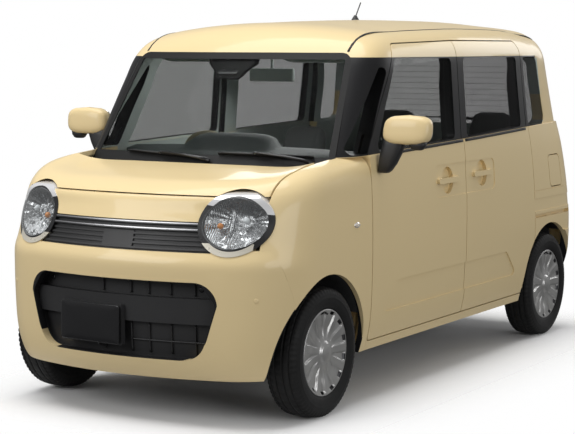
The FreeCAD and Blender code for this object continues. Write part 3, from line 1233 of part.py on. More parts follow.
silencer = Part.makeCylinder(size.silencer_radius, size.silencer_length, Vector(
    pipe_offset, silencer_front, pipe_height + size.silencer_radius / 2), Vector(0, 1, 0))
tail_pipe = Part.makeCylinder(
    size.pipe_radius, half_length - size.overrun / 2 - silencer_front - size.silencer_length / 2,
    Vector(pipe_offset, silencer_front + size.silencer_length / 2,
           size.rear_bumper_base - 1.2 * size.pipe_radius), Vector(0, 1, 0))
keep("exhaust", pipe.fuse([silencer, tail_pipe]))

# Front subframe with the lower arms, each ending in an eye under its knuckle's ball joint.
ball_joint = Vector(size.ball_joint_offset, front_axle, size.ball_joint_height)
steer_way = (strut_top - ball_joint).normalize()
eye = Part.makeCylinder(size.ball_joint_radius, size.arm_thickness, ball_joint - steer_way * (
    size.arm_thickness + size.seat_gap), steer_way)
arm_inner = size.rail_offset - size.rail_width / 2
arm_drop = size.subframe_base + size.arm_thickness - size.ball_joint_height
arm = Part.makeBox(size.ball_joint_offset - arm_inner, size.arm_width, size.arm_thickness,
                   Vector(0, -size.arm_width / 2, -size.arm_thickness))
arm_turn = math.atan2(arm_drop, size.ball_joint_offset - arm_inner)
arm.rotate(Vector(0, 0, 0), Vector(0, 1, 0), math.degrees(arm_turn))
arm.translate(Vector(arm_inner, front_axle, size.subframe_base + size.arm_thickness))
arm = arm.cut(Part.makeCylinder(size.ball_joint_radius * 2, size.beam_width,
                                ball_joint - steer_way * size.seat_gap, steer_way))
subframe = box((-rail_outer, front_axle - size.subframe_length / 2, size.subframe_base),
               (rail_outer, front_axle + size.subframe_length / 2, subframe_top))
posts = []
post_spread = size.subframe_length / 2
for along in (front_axle - post_spread, front_axle + post_spread - size.rail_width):
    for left in (-rail_outer, rail_inner):
        posts.append(box(
            (left, along, subframe_top),
            (left + size.rail_width, along + size.rail_width, size.rail_base - size.seat_gap)))
keep("front_subframe", subframe.fuse([arm, mirrored(arm), eye, mirrored(eye)] + posts))

# A knuckle carries its wheel's spindle and the strut, and turns between ball joint and strut top.
front_track = size.front_tread / 2
hub_face = front_track + size.rim_width / 2 - size.hub_depth
wheel_height = size.tyre_radius
knuckle_foot = Part.makeCylinder(size.ball_joint_radius, size.knuckle_height, ball_joint, steer_way)
spindle_inner = size.strut_foot_offset
spindle = across_cylinder(
    size.spindle_radius, spindle_inner, hub_face - size.seat_gap, front_axle, wheel_height)
carrier_outer = hub_face - size.hub_depth / 3
carrier = box((carrier_outer - size.knuckle_width, front_axle - size.knuckle_length / 2,
               wheel_height - size.knuckle_height / 2),
              (carrier_outer, front_axle + size.knuckle_length / 2,
               wheel_height + size.knuckle_height / 2))
strut_foot = Vector(size.strut_foot_offset, front_axle, size.strut_foot_height)
strut_way = (strut_top - strut_foot).normalize()
strut_length = strut_top.distanceToPoint(strut_foot) - size.strut_radius / 3
strut = Part.makeCylinder(size.strut_radius, strut_length, strut_foot, strut_way)
clamp = box((size.strut_foot_offset - size.strut_radius, front_axle - size.strut_radius,
             wheel_height - size.spindle_radius),
            (hub_face - size.knuckle_width, front_axle + size.strut_radius,
             size.strut_foot_height + size.strut_radius))
knuckle = knuckle_foot.fuse([spindle, carrier, strut, clamp])
keep("knuckle_left", knuckle)
keep("knuckle_right", mirrored(knuckle))

# The twist-beam rear axle, with its arms, drums and dampers.
rear_track = size.rear_tread / 2
rear_hub_face = rear_track + size.rim_width / 2 - size.hub_depth
beam_base = wheel_height + size.beam_height / 2
arm_left = size.damper_offset - size.beam_width / 2
parts = [box((-size.damper_offset, rear_axle - 2.5 * size.beam_width, beam_base),
             (size.damper_offset, rear_axle - 1.5 * size.beam_width, beam_base + size.beam_height))]
for side in (-1, 1):
    edges = sorted((side * arm_left, side * (arm_left + size.beam_width)))
    parts.append(box((edges[0], rear_axle - size.trailing_arm_length, wheel_height),
                     (edges[1], rear_axle + size.beam_width, wheel_height + size.beam_height)))
    parts.append(box((edges[0], rear_axle - size.trailing_arm_length, wheel_height + size.beam_height),
                     (edges[1], rear_axle + size.beam_width - size.trailing_arm_length,
                      size.rear_floor_height - size.seat_gap)))
    parts.append(Part.makeCylinder(
        size.damper_radius, size.rear_floor_height - size.seat_gap - wheel_height,
        Vector(side * size.damper_offset, rear_axle - 2 * size.beam_width, wheel_height)))
    stub = sorted((side * arm_left, side * (rear_hub_face - size.seat_gap)))
    parts.append(across_cylinder(size.spindle_radius, *stub, rear_axle,
                                 wheel_height + size.spindle_radius / 9))
    drum = sorted((side * (rear_hub_face - size.knuckle_width),
                   side * (rear_hub_face - size.hub_depth / 6)))
    parts.append(across_cylinder(size.drum_radius, *drum, rear_axle, wheel_height))
keep("rear_axle", parts[0].fuse(parts[1:]))

# Door mirrors, each a rounded shell on a sloping foot screwed to the door's skin.
mirror_middle = front_axle + size.mirror_from_axle
head = Part.makeBox(size.mirror_width, size.mirror_thickness, size.mirror_tall, Vector(
    size.mirror_offset - size.mirror_width / 2, mirror_middle - size.mirror_thickness / 2,
    size.mirror_height - size.mirror_tall / 2))
head = head.makeFillet(size.mirror_radius, head.Edges)
mirror_base = size.mirror_height - size.mirror_tall / 2 + size.mirror_radius
foot = front_prism([
    (half_width - size.mirror_foot_size, size.mirror_foot_height - size.mirror_foot_size / 2, 0),
    (half_width, size.mirror_foot_height - size.mirror_foot_size / 2, size.mirror_radius / 2),
    (size.mirror_offset, mirror_base, 0),
    (size.mirror_offset - size.mirror_foot_size, mirror_base, 0),
    (half_width - size.mirror_foot_size, size.mirror_foot_height + size.mirror_foot_size / 2, 0)],
    near=mirror_middle - size.mirror_thickness / 2 - size.mirror_radius / 2,
    far=mirror_middle + size.mirror_radius / 2)
foot = foot.cut(flank_skin.panel(-size.seat_gap, size.door_depth + size.mirror_foot_size))
foot = max(foot.Solids, key=lambda solid: solid.Volume)
mirror = head.fuse(foot)
keep("door_mirror_left", mirror)
keep("door_mirror_right", mirrored(mirror))

# A short whip antenna on a rubber foot, two thirds of the way back along the roof.
antenna_along = front_axle + size.antenna_from_axle
roof_level = size.overall_height * curve(roof_shares, antenna_along / size.overall_length)
roof_level -= size.roof_crown * across(size.antenna_offset)
antenna_place = Vector(size.antenna_offset, antenna_along, roof_level + 2 * size.seat_gap)
antenna_foot = Part.makeCone(size.antenna_foot_radius, size.antenna_radius * 2,
                             size.antenna_foot_height * 2, antenna_place)
whip_lean = math.radians(size.antenna_lean)
whip = Part.makeCylinder(size.antenna_radius, size.antenna_length,
                         antenna_place + Vector(0, 0, size.antenna_foot_height),
                         Vector(0, math.sin(whip_lean), math.cos(whip_lean)))
keep("antenna", antenna_foot.fuse(whip))

# The cabin mirror hangs on a stalk from the roof behind the windscreen.
cabin_mirror = pad(size.cabin_mirror_width, size.cabin_mirror_thickness, size.cabin_mirror_height,
                   size.cabin_mirror_thickness / 3)
cabin_mirror.translate(Vector(0, front_axle + size.cabin_mirror_from_axle, size.cabin_mirror_base))
stalk = Part.makeCylinder(size.post_radius, size.overall_height, Vector(
    0, front_axle + size.cabin_mirror_from_axle + size.cabin_mirror_thickness / 2,
    size.cabin_mirror_base + size.cabin_mirror_height / 2))
stalk = stalk.cut(roof_skin.panel(-size.overall_height, size.roof_depth + size.seat_gap))
stalk = min(stalk.Solids, key=lambda solid: solid.CenterOfMass.z)
keep("cabin_mirror", cabin_mirror.fuse(stalk))


def sketch(body, role, name):
    """Empty sketch on one of a body's own origin planes."""
    plane = next(item for item in body.Origin.OriginFeatures if item.Role == role)
    drawing = body.newObject("Sketcher::SketchObject", name)
    drawing.AttachmentSupport = [(plane, "")]
    drawing.MapMode = "FlatFace"
    return drawing


def polygon(drawing, corners):
    """Closed outline whose every corner is held by two formulas of the sizes."""
    count = len(corners)
    first = drawing.GeometryCount
    spread = [Vector(math.cos(2 * math.pi * i / count), math.sin(2 * math.pi * i / count)) * half_width
              for i in range(count)]
    for i in range(count):
        drawing.addGeometry(Part.LineSegment(spread[i], spread[(i + 1) % count]), False)
    for i in range(count):
        drawing.addConstraint(Sketcher.Constraint("Coincident", first + i, 2, first + (i + 1) % count, 1))
    for i, place in enumerate(corners):
        for kind, formula in zip(("DistanceX", "DistanceY"), place):
            held = drawing.addConstraint(Sketcher.Constraint(kind, -1, 1, first + i, 1, half_width))
            drawing.setExpression(f"Constraints[{held}]", formula)


def revolved(body, drawing, name):
    """Turns a profile drawn over the wheel's axle into a solid."""
    turn = body.newObject("PartDesign::Revolution", name)
    turn.Profile = drawing
    turn.ReferenceAxis = (drawing, ["H_Axis"])
    turn.Angle = 360
    drawing.Visibility = False
    return turn


def tyre(name):
    """Tyre section: beads on the rim, round shoulders and a flat tread, turned about the axle."""
    body = doc.addObject("PartDesign::Body", name)
    section = sketch(body, "XZ_Plane", name + "_section")
    half = "sizes.tyre_width / 2"
    bead = "sizes.rim_radius"
    top = "sizes.tyre_radius"
    polygon(section, [
        (f"-{half} + sizes.tyre_wall / 8", bead), (f"{half} - sizes.tyre_wall / 8", bead),
        (half, f"{bead} + sizes.tyre_wall / 3"),
        (f"{half} - sizes.tyre_wall / 40", f"{top} - sizes.tyre_wall / 3.4"),
        (f"{half} - sizes.tyre_wall / 7", f"{top} - sizes.tyre_wall / 20"),
        (f"{half} - sizes.tyre_wall / 4", top), (f"-{half} + sizes.tyre_wall / 4", top),
        (f"-{half} + sizes.tyre_wall / 7", f"{top} - sizes.tyre_wall / 20"),
        (f"-{half} + sizes.tyre_wall / 40", f"{top} - sizes.tyre_wall / 3.4"),
        (f"-{half}", f"{bead} + sizes.tyre_wall / 3")])
    revolved(body, section, name + "_turned")
    return body


def rim(name):
    """Steel rim with its finned cover: the barrel and dish turned, the slots cut between the fins."""
    body = doc.addObject("PartDesign::Body", name)
    section = sketch(body, "XZ_Plane", name + "_section")
    half = "sizes.rim_width / 2"
    outer = "sizes.rim_radius"
    well = "sizes.rim_radius - 2 * sizes.rim_lip"
    skin = "sizes.barrel_thickness"
    back = f"{half} - sizes.cover_dish - sizes.cover_thickness"
    polygon(section, [
        (f"-{half}", f"{outer} - {skin}"), (f"-{half}", outer),
        (f"-{half} + sizes.rim_lip", outer),
        (f"-{half} + 3 * sizes.rim_lip", well), (f"{half} - 4 * sizes.rim_lip", well),
        (f"{half} - 2 * sizes.rim_lip", outer), (f"{half} - {skin} / 2", outer),
        (half, f"{outer} - {skin}"), (f"{half} - {skin}", f"{outer} - 2 * sizes.rim_lip"),
        (f"{half} - sizes.cover_dish", "sizes.hub_radius * 2"),
        (f"{half} - {skin}", "sizes.hub_radius"), (f"{half} - {skin}", "0"),
        (f"{half} - sizes.hub_depth", "0"), (f"{half} - sizes.hub_depth", "sizes.hub_radius"),
        (back, "sizes.hub_radius"), (back, f"{well} - {skin}"),
        (f"-{half} + 3 * sizes.rim_lip", f"{well} - {skin}")])
    revolved(body, section, name + "_turned")
    doc.recompute()
    return body


def slotted(body, name):
    """Cuts one slot through the cover and repeats it between all the fins."""
    whole = body.Shape.Volume
    drawing = sketch(body, "YZ_Plane", name + "_slot")
    half_root = "(sizes.slot_root / 2)"
    half_tip = "(sizes.slot_tip / 2)"
    polygon(drawing, [
        (f"-{half_root}", "sizes.fin_root"), (half_root, "sizes.fin_root"),
        (half_tip, "sizes.fin_root + sizes.fin_length"),
        (f"-{half_tip}", "sizes.fin_root + sizes.fin_length")])
    pocket = body.newObject("PartDesign::Pocket", name + "_pocket")
    pocket.Profile = drawing
    pocket.Type = 1
    pocket.Reversed = True
    drawing.Visibility = False
    doc.recompute()
    if body.Shape.Volume > 0.9999 * whole:
        raise RuntimeError("the slot cuts nothing")
    pattern = body.newObject("PartDesign::PolarPattern", name + "_slots")
    pattern.Originals = [pocket]
    axis = next(item for item in body.Origin.OriginFeatures if item.Role == "X_Axis")
    pattern.Axis = (axis, [""])
    pattern.Angle = 360
    pattern.Occurrences = int(size.fin_count)
    body.Tip = pattern
    return body


FRONT_AXLE = "(sizes.front_overhang - sizes.overall_length / 2)"
wheels = {
    "front_left": ("sizes.front_tread / 2", FRONT_AXLE, 0),
    "front_right": ("-sizes.front_tread / 2", FRONT_AXLE, 180),
    "rear_left": ("sizes.rear_tread / 2", FRONT_AXLE + " + sizes.wheelbase", 0),
    "rear_right": ("-sizes.rear_tread / 2", FRONT_AXLE + " + sizes.wheelbase", 180)}
for corner, (across_place, along_place, turn) in wheels.items():
    for made in (tyre("tyre_" + corner), slotted(rim("rim_" + corner), "rim_" + corner)):
        made.Placement = Placement(Vector(0, 0, 0), Rotation(Vector(0, 0, 1), turn))
        made.setExpression("Placement.Base.x", across_place)
        made.setExpression("Placement.Base.y", along_place)
        made.setExpression("Placement.Base.z", "sizes.tyre_radius")
        pieces.append(made)
doc.recompute()


for item in doc.Objects:
    bad = {"Invalid", "Error"} & set(item.State)
    if bad:
        raise RuntimeError(f"{item.Label}: {bad}")
os.makedirs("parts", exist_ok=True)
for item in pieces:
    shape = item.Shape
    if shape.isNull() or not shape.isValid() or not shape.Solids:
        raise RuntimeError(f"{item.Label} has no valid solid")
    shape.exportStep(f"parts/{item.Label}.step")
    print(item.Label, len(shape.Solids), round(shape.Volume / 1e6, 2))
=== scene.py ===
import math

import bmesh
import bpy
from mathutils import Matrix, Vector
from mathutils.bvhtree import BVHTree


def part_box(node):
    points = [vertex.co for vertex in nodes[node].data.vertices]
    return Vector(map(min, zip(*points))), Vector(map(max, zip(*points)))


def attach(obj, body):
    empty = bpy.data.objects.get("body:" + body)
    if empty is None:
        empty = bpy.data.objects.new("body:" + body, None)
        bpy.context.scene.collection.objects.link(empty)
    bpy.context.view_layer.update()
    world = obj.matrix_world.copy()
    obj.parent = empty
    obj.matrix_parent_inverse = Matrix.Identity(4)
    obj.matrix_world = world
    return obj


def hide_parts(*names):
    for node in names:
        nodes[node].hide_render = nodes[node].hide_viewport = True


# A tall kei car with sliding rear doors: nose along -Y, left side +X, metres throughout.
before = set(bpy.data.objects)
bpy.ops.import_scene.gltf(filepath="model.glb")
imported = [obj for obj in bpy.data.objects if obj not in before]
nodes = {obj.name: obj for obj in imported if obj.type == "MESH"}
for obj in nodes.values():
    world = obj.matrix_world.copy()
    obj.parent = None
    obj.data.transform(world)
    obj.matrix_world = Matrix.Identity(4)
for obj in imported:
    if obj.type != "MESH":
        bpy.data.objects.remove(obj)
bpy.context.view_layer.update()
scene = bpy.context.scene


# Camera: a long lens a little under the roof's height, ahead of the car and to its left, as
# the photograph was taken. The shift only centres the frame.
CAMERA_PLACE = (4.1854, -7.4084, 1.5678)
CAMERA_TURN = math.radians(30.39)
CAMERA_DROP = math.radians(5.97)
CAMERA_ROLL = math.radians(0.14)
SENSOR_WIDTH = 36.0
FOCAL_LENGTH = 107.74
FRAME_SHIFT = (0.0028, 0.0130)

camera = bpy.data.objects.new("camera", bpy.data.cameras.new("camera"))
scene.collection.objects.link(camera)
camera.data.sensor_width = SENSOR_WIDTH
camera.data.lens = FOCAL_LENGTH
camera.data.shift_x, camera.data.shift_y = FRAME_SHIFT
aim = Matrix.Rotation(CAMERA_TURN, 3, "Z") @ Matrix.Rotation(math.pi / 2 - CAMERA_DROP, 3, "X")
aim = aim @ Matrix.Rotation(CAMERA_ROLL, 3, "Z")
camera.matrix_world = Matrix.Translation(CAMERA_PLACE) @ aim.to_4x4()
scene.camera = camera
scene.view_settings.view_transform = "Standard"


# Floor: a pale, even studio floor that keeps the car's soft shadow and fades into a white
# background. Its look, as every other one, is a Finish: one material on the principled shader,
# whose values are plain sums of Wires, each of which carries one socket.
FLOOR_REACH = 60.0
SHADOW_HALF_WIDTH = 0.66
SHADOW_HALF_LENGTH = 1.55
SHADOW_FADE = 0.75


class Wire:
    def __init__(self, finish, socket):
        self.finish = finish
        self.socket = socket

    def sum(self, operation, *terms):
        return self.finish.node("ShaderNodeMath", {"operation": operation}, *terms)

    def __add__(self, other):
        return self.sum("ADD", self, other)

    def __sub__(self, other):
        return self.sum("SUBTRACT", self, other)

    def __rsub__(self, other):
        return self.sum("SUBTRACT", other, self)

    def __mul__(self, other):
        return self.sum("MULTIPLY", self, other)

    def __truediv__(self, other):
        return self.sum("DIVIDE", self, other)

    def __rtruediv__(self, other):
        return self.sum("DIVIDE", other, self)

    def __pow__(self, other):
        return self.sum("POWER", self, other)

    def __gt__(self, other):
        return self.sum("GREATER_THAN", self, other)

    def __lt__(self, other):
        return self.sum("LESS_THAN", self, other)

    def __abs__(self):
        return self.sum("ABSOLUTE", self)

    __radd__ = __add__
    __rmul__ = __mul__

    def wave(self):
        return self.sum("SINE", self)

    def most(self, other):
        return self.sum("MAXIMUM", self, other)


class Finish:
    def __init__(self, name, colour, roughness, **sockets):
        self.material = bpy.data.materials.new(name)
        self.material.use_nodes = True
        self.tree = self.material.node_tree
        self.shader = self.tree.nodes["Principled BSDF"]
        self.feed("Base Color", colour)
        self.feed("Roughness", roughness)
        for socket, value in sockets.items():
            self.feed(socket.replace("_", " ").title().replace("Ior", "IOR"), value)

    def feed(self, socket, value):
        self.join(value, self.shader.inputs[socket])

    def join(self, value, socket):
        if isinstance(value, Wire):
            self.tree.links.new(value.socket, socket)
        elif isinstance(value, (tuple, list)) and len(value) == 3 and socket.type == "RGBA":
            socket.default_value = (*value, 1.0)
        else:
            socket.default_value = value

    def node(self, kind, settings, *values, out=0, **named):
        made = self.tree.nodes.new(kind)
        for key, value in settings.items():
            setattr(made, key, value)
        for socket, value in zip(made.inputs, values):
            self.join(value, socket)
        for name, value in named.items():
            self.join(value, made.inputs[name])
        return Wire(self, made.outputs[out])

    def place(self):
        """The three coordinates of a point in the car's own frame."""
        at = self.node("ShaderNodeTexCoord", {}, out=3)
        split = self.node("ShaderNodeSeparateXYZ", {}, at)
        return [Wire(self, socket) for socket in split.socket.node.outputs]

    def facing(self):
        """The three parts of the surface's own direction."""
        way = self.node("ShaderNodeTexCoord", {}, out=1)
        split = self.node("ShaderNodeSeparateXYZ", {}, way)
        return [Wire(self, socket) for socket in split.socket.node.outputs]

    def noise(self, scale, detail=2.0, stretch=(1, 1, 1)):
        at = self.node("ShaderNodeTexCoord", {}, out=3)
        at = self.node("ShaderNodeMapping", {}, Vector=at, Scale=stretch)
        return self.node("ShaderNodeTexNoise", {}, Vector=at, Scale=scale, Detail=detail)

    def mix(self, share, first, second):
        made = self.tree.nodes.new("ShaderNodeMix")
        made.data_type = "RGBA"
        self.join(share, made.inputs[0])
        self.join(first, made.inputs[6])
        self.join(second, made.inputs[7])
        return Wire(self, made.outputs[2])

    def fade(self, value, start, end):
        """From 0 to 1 while the value runs from start to end."""
        return self.node("ShaderNodeMapRange", {}, value, start, end, 0.0, 1.0)

    def bump(self, height, strength, distance=0.001):
        self.feed("Normal", self.node("ShaderNodeBump", {}, Strength=strength, Distance=distance,
                                      Height=height))

    def gleam(self):
        """Share of the light that clear glass mirrors, more at a glancing view."""
        glance = self.node("ShaderNodeLayerWeight", {}, 0.5, out=1)
        return glance**5 * 0.9 + 0.035

    def veil(self, share, clearness=(1, 1, 1)):
        """Shows only that share of the surface, and a clear tint for the rest."""
        clear = self.tree.nodes.new("ShaderNodeBsdfTransparent")
        blend = self.tree.nodes.new("ShaderNodeMixShader")
        self.join(clearness, clear.inputs["Color"])
        self.join(share, blend.inputs[0])
        self.tree.links.new(clear.outputs[0], blend.inputs[1])
        self.tree.links.new(self.shader.outputs[0], blend.inputs[2])
        self.tree.links.new(blend.outputs[0], self.tree.nodes["Material Output"].inputs["Surface"])

    def on(self, *objects):
        for piece in objects:
            piece.data.materials.clear()
            piece.data.materials.append(self.material)


floor_mesh = bpy.data.meshes.new("studio_floor")
floor_mesh.from_pydata([(FLOOR_REACH * i, FLOOR_REACH * j, 0)
                        for i, j in ((-1, -1), (1, -1), (1, 1), (-1, 1))], [], [(0, 1, 2, 3)])
floor = bpy.data.objects.new("studio_floor", floor_mesh)
scene.collection.objects.link(floor)
floor_finish = Finish("studio_floor", (0.88, 0.88, 0.88), 0.92)
x, y, _ = floor_finish.place()
beside = (abs(x) - SHADOW_HALF_WIDTH).most(0.0)
beyond = (abs(y) - SHADOW_HALF_LENGTH).most(0.0)
away = (beside * beside + beyond * beyond) ** 0.5
floor_finish.veil((1 - floor_finish.fade(away, 0.0, SHADOW_FADE)) ** 2)
floor_finish.on(floor)


# Studio: a dim grey room, lighter above the horizon, which the camera sees as white. Soft
# boxes hang over the car and stand by its nose, flank and tail, with a small one in the cabin.
BELOW_HORIZON = (-0.35, 0.08)
ABOVE_HORIZON = (0.05, 0.34)
world = bpy.data.worlds.new("studio")
scene.world = world
world.use_nodes = True
sky = world.node_tree
rays = sky.nodes.new("ShaderNodeLightPath")
seen = sky.nodes.new("ShaderNodeMath")
seen.operation = "MAXIMUM"
sky.links.new(rays.outputs["Is Camera Ray"], seen.inputs[0])
sky.links.new(rays.outputs["Is Transmission Ray"], seen.inputs[1])
direction = sky.nodes.new("ShaderNodeTexCoord")
height = sky.nodes.new("ShaderNodeSeparateXYZ")
sky.links.new(direction.outputs["Generated"], height.inputs[0])
glow = sky.nodes.new("ShaderNodeMapRange")
sky.links.new(height.outputs["Z"], glow.inputs["Value"])
for end, (rise, strength) in (("Min", BELOW_HORIZON), ("Max", ABOVE_HORIZON)):
    glow.inputs["From " + end].default_value = rise
    glow.inputs["To " + end].default_value = strength
level = sky.nodes.new("ShaderNodeMapRange")
sky.links.new(seen.outputs[0], level.inputs["Value"])
sky.links.new(glow.outputs[0], level.inputs["To Min"])
level.inputs["To Max"].default_value = 1.0
sky.links.new(level.outputs[0], sky.nodes["Background"].inputs["Strength"])
sky.nodes["Background"].inputs["Color"].default_value = (1.0, 1.0, 1.0, 1.0)


def soft_light(name, place, target, width, height, watts):
    """One studio soft box that faces a point."""
    box = bpy.data.lights.new(name, "AREA")
    box.shape = "RECTANGLE"
    box.size = width
    box.size_y = height
    box.energy = watts
    light = bpy.data.objects.new(name, box)
    scene.collection.objects.link(light)
    light.location = place
    light.rotation_euler = (Vector(target) - Vector(place)).to_track_quat("-Z", "Y").to_euler()


soft_light("overhead_box", (-1.2, -1.8, 8.6), (0, 0, 0.8), 6.0, 8.0, 630)
soft_light("nose_box", (-3.0, -7.2, 3.8), (0, -1.2, 0.8), 4.0, 3.0, 178)
soft_light("flank_box", (7.0, -2.6, 2.0), (0.6, -0.4, 0.8), 5.0, 2.4, 124)
soft_light("tail_box", (2.5, 8.0, 3.8), (0, 1.0, 0.8), 4.0, 3.0, 110)
soft_light("cabin_box", (0.0, -0.10, 1.46), (0.0, -0.50, 0.6), 0.9, 0.5, 9)


# Paint: pressed steel panels in one warm cream, a solid colour under clear lacquer. The cabin
# is blacked out with matt film between the belt line and the window heads, the wheel arches and
# the bumper's mouth are lined in black plastic, and the insides carry a grey-green trim.
CREAM = (0.80, 0.635, 0.352)
CREAM_SHADE = (0.77, 0.595, 0.31)
LOW_BODY_TONE = (0.50, 0.42, 0.27)
FILM = (0.014, 0.014, 0.015)
TRIM_GREY = (0.46, 0.52, 0.49)
BELT_LINE = 1.109
BELT_RISE = 0.027
WINDOW_HEAD = 1.512
MOUTH_WAIST = 0.516
MOUTH_HALF_WIDTH = 0.468
MOUTH_MIDDLE = 0.4455
MOUTH_HALF_HEIGHT = 0.1595
MOUTH_CORNER = 0.095
MOUTH_TAPER = 0.304
PILLAR_FRONT = 1.345
ARCHES = ((-1.1595, 0.331), (1.3005, 0.336))
ARCH_HEIGHT = 0.280
ARCH_LIP = 0.714


def cream_paint(name, banded=False, lining=None, mouth=False):
    """Lacquered cream, black in the arches, the cabin's band or the mouth, lined on the inside."""
    finish = Finish(name, CREAM, 0.32, coat_roughness=0.05, specular_ior_level=0.15)
    x, y, z = finish.place()
    side, along, up = finish.facing()
    cloud = finish.noise(2.3, 3.0)
    # Darker, rougher and with less lacquer towards the bottom of the body.
    lowness = 1 - finish.fade(z, 0.15, 0.7)
    arch = 0
    for axle, reach in ARCHES:
        ahead = y - axle
        above = z - ARCH_HEIGHT
        round_axle = (ahead * ahead + above * above) ** 0.5 < reach + 0.004
        arch = (round_axle * (abs(x) < ARCH_LIP)) + arch
    colour = finish.mix(cloud * 0.12, CREAM, CREAM_SHADE)
    colour = finish.mix(lowness * 0.25, colour, LOW_BODY_TONE)
    rough = 0.30 + cloud * 0.06 + lowness * 0.10
    coat = 0.34 - lowness * 0.15
    if banded:
        over = (z - BELT_RISE * y) > BELT_LINE
        under = z < WINDOW_HEAD
        ahead = y < PILLAR_FRONT
        band = over * under * ahead
        colour = finish.mix(band, colour, FILM)
        rough = rough * (1 - band) + band * 0.40
        coat = coat * (1 - band * 0.9)
    if mouth:
        narrower = (MOUTH_WAIST - z).most(0.0) * MOUTH_TAPER
        wide = (abs(x) + narrower - MOUTH_HALF_WIDTH + MOUTH_CORNER).most(0.0)
        tall = (abs(z - MOUTH_MIDDLE) - MOUTH_HALF_HEIGHT + MOUTH_CORNER).most(0.0)
        arch = arch.most((wide * wide + tall * tall) ** 0.5 < MOUTH_CORNER + 0.003)
    colour = finish.mix(arch, colour, FILM)
    rough = rough * (1 - arch) + arch * 0.7
    coat = coat * (1 - arch)
    if lining:
        # The rear pillar's inside has faces that look every way, so its place tells it too.
        deep = abs(x) < 0.662 - (z - 1.10) * 0.10
        deep = deep * (z > 1.11) * (z < 1.50) * (y > 1.08) * (y < 1.37)
        inward = {"side": ((x * side) < -0.12).most(deep), "top": (up < -0.45),
                  "tail": (along < -0.45)}[lining]
        pressed = finish.noise(420.0, 1.0)
        trim = finish.mix(pressed * 0.3, TRIM_GREY, [c * 0.8 for c in TRIM_GREY])
        colour = finish.mix(inward, colour, trim)
        rough = rough * (1 - inward) + inward * 0.75
        coat = coat * (1 - inward)
    finish.feed("Base Color", colour)
    finish.feed("Roughness", rough)
    finish.feed("Coat Weight", coat)
    finish.bump(finish.noise(260.0, 1.0), 0.010, 0.0004)
    return finish


paint = cream_paint("cream_paint")
banded_paint = cream_paint("cream_paint_with_black_band", True, "side")
roof_paint = cream_paint("cream_paint_over_headliner", False, "top")
tail_paint = cream_paint("cream_paint_over_tail_trim", False, "tail")
paint.on(*[nodes[name] for name in (
    "bonnet", "front_fenders", "nose_panel", "rear_bumper", "fuel_flap")])
bumper_paint = cream_paint("cream_bumper_with_black_mouth", mouth=True)
bumper_paint.on(nodes["front_bumper"])
banded_paint.on(*[nodes[name] for name in (
    "side_frame_left", "side_frame_right", "front_door_left", "front_door_right",
    "sliding_door_left", "sliding_door_right")])
roof_paint.on(nodes["roof"])
tail_paint.on(nodes["tailgate"])


# Glass: a laminated windscreen and toughened panes in the doors and the tail, all with a grey
# tint. Black enamel runs round the windscreen where it is glued in.
ENAMEL_FOOT = 1.082
ENAMEL_HEAD = 1.502
SCREEN_FOOT = 1.040
ENAMEL_HALF_WIDTH = 0.612
SCREEN_TAPER = 0.1504


def pane_finish(name, tint, clearness, enamel=False):
    """Clear glass that mirrors more at a glance, with the enamelled border of a windscreen."""
    finish = Finish(name, tint, 0.04, specular_ior_level=0.3)
    share = finish.gleam() + finish.noise(1.7, 2.0) * 0.01
    if enamel:
        x, y, z = finish.place()
        edge = ENAMEL_HALF_WIDTH - (z - SCREEN_FOOT) * SCREEN_TAPER
        border = (abs(x) > edge).most(z > ENAMEL_HEAD).most(z < ENAMEL_FOOT)
        share = share.most(border)
        finish.feed("Roughness", 0.04 + border * 0.55)
        finish.feed("Base Color", finish.mix(border, tint, (0.006, 0.006, 0.006)))
    finish.veil(share, clearness)
    return finish


screen_glass = pane_finish("laminated_glass", (0.012, 0.013, 0.013), (0.67, 0.675, 0.672), True)
door_glass = pane_finish("green_tinted_glass", (0.012, 0.013, 0.013), (0.67, 0.675, 0.67))
rear_glass = pane_finish("privacy_glass", (0.010, 0.010, 0.011), (0.67, 0.67, 0.67))
screen_glass.on(nodes["windscreen"])
door_glass.on(nodes["front_door_glass_left"], nodes["front_door_glass_right"])
rear_glass.on(nodes["sliding_door_glass"], nodes["quarter_glass"], nodes["tailgate_glass"])


# Black mouldings: grained polypropylene for the grille, the mouth of the bumper and the cowl,
# and softer rubber for the seals.
def grained(name, colour, roughness, grain=900.0, depth=0.35, **sockets):
    """Moulded plastic or rubber with a fine grain and a faint cloudiness."""
    finish = Finish(name, colour, roughness, **sockets)
    broad = finish.noise(6.0, 2.0)
    finish.feed("Base Color", finish.mix(broad * 0.5, colour, [c * 1.35 for c in colour]))
    finish.feed("Roughness", roughness - 0.06 + broad * 0.12)
    finish.bump(finish.noise(grain, 2.0), depth, 0.0006)
    return finish


black_moulding = grained("black_grained_moulding", (0.018, 0.018, 0.019), 0.48)
gloss_black = grained("gloss_black_moulding", (0.010, 0.010, 0.011), 0.16, 60.0, 0.02)
rubber = grained("black_rubber", (0.012, 0.012, 0.012), 0.62, 500.0, 0.2)
black_moulding.on(nodes["upper_grille"], nodes["lower_grille"], nodes["cowl"])
rubber.on(nodes["door_seals"])


# Bright metal: plated plastic on the lamps' eyelids and the grille bars, with a few fine
# polishing streaks in it.
BAR_BLACK = (0.012, 0.012, 0.013)
BAR_BRIGHT = (0.34, 0.34, 0.35)


def bright_metal(name, colour, roughness):
    """Plated plastic with fine streaks."""
    finish = Finish(name, colour, roughness, metallic=1.0)
    streak = finish.noise(90.0, 3.0, (1, 1, 12))
    finish.feed("Roughness", roughness + streak * 0.05)
    finish.feed("Base Color", finish.mix(streak * 0.25, colour, [c * 0.86 for c in colour]))
    return finish


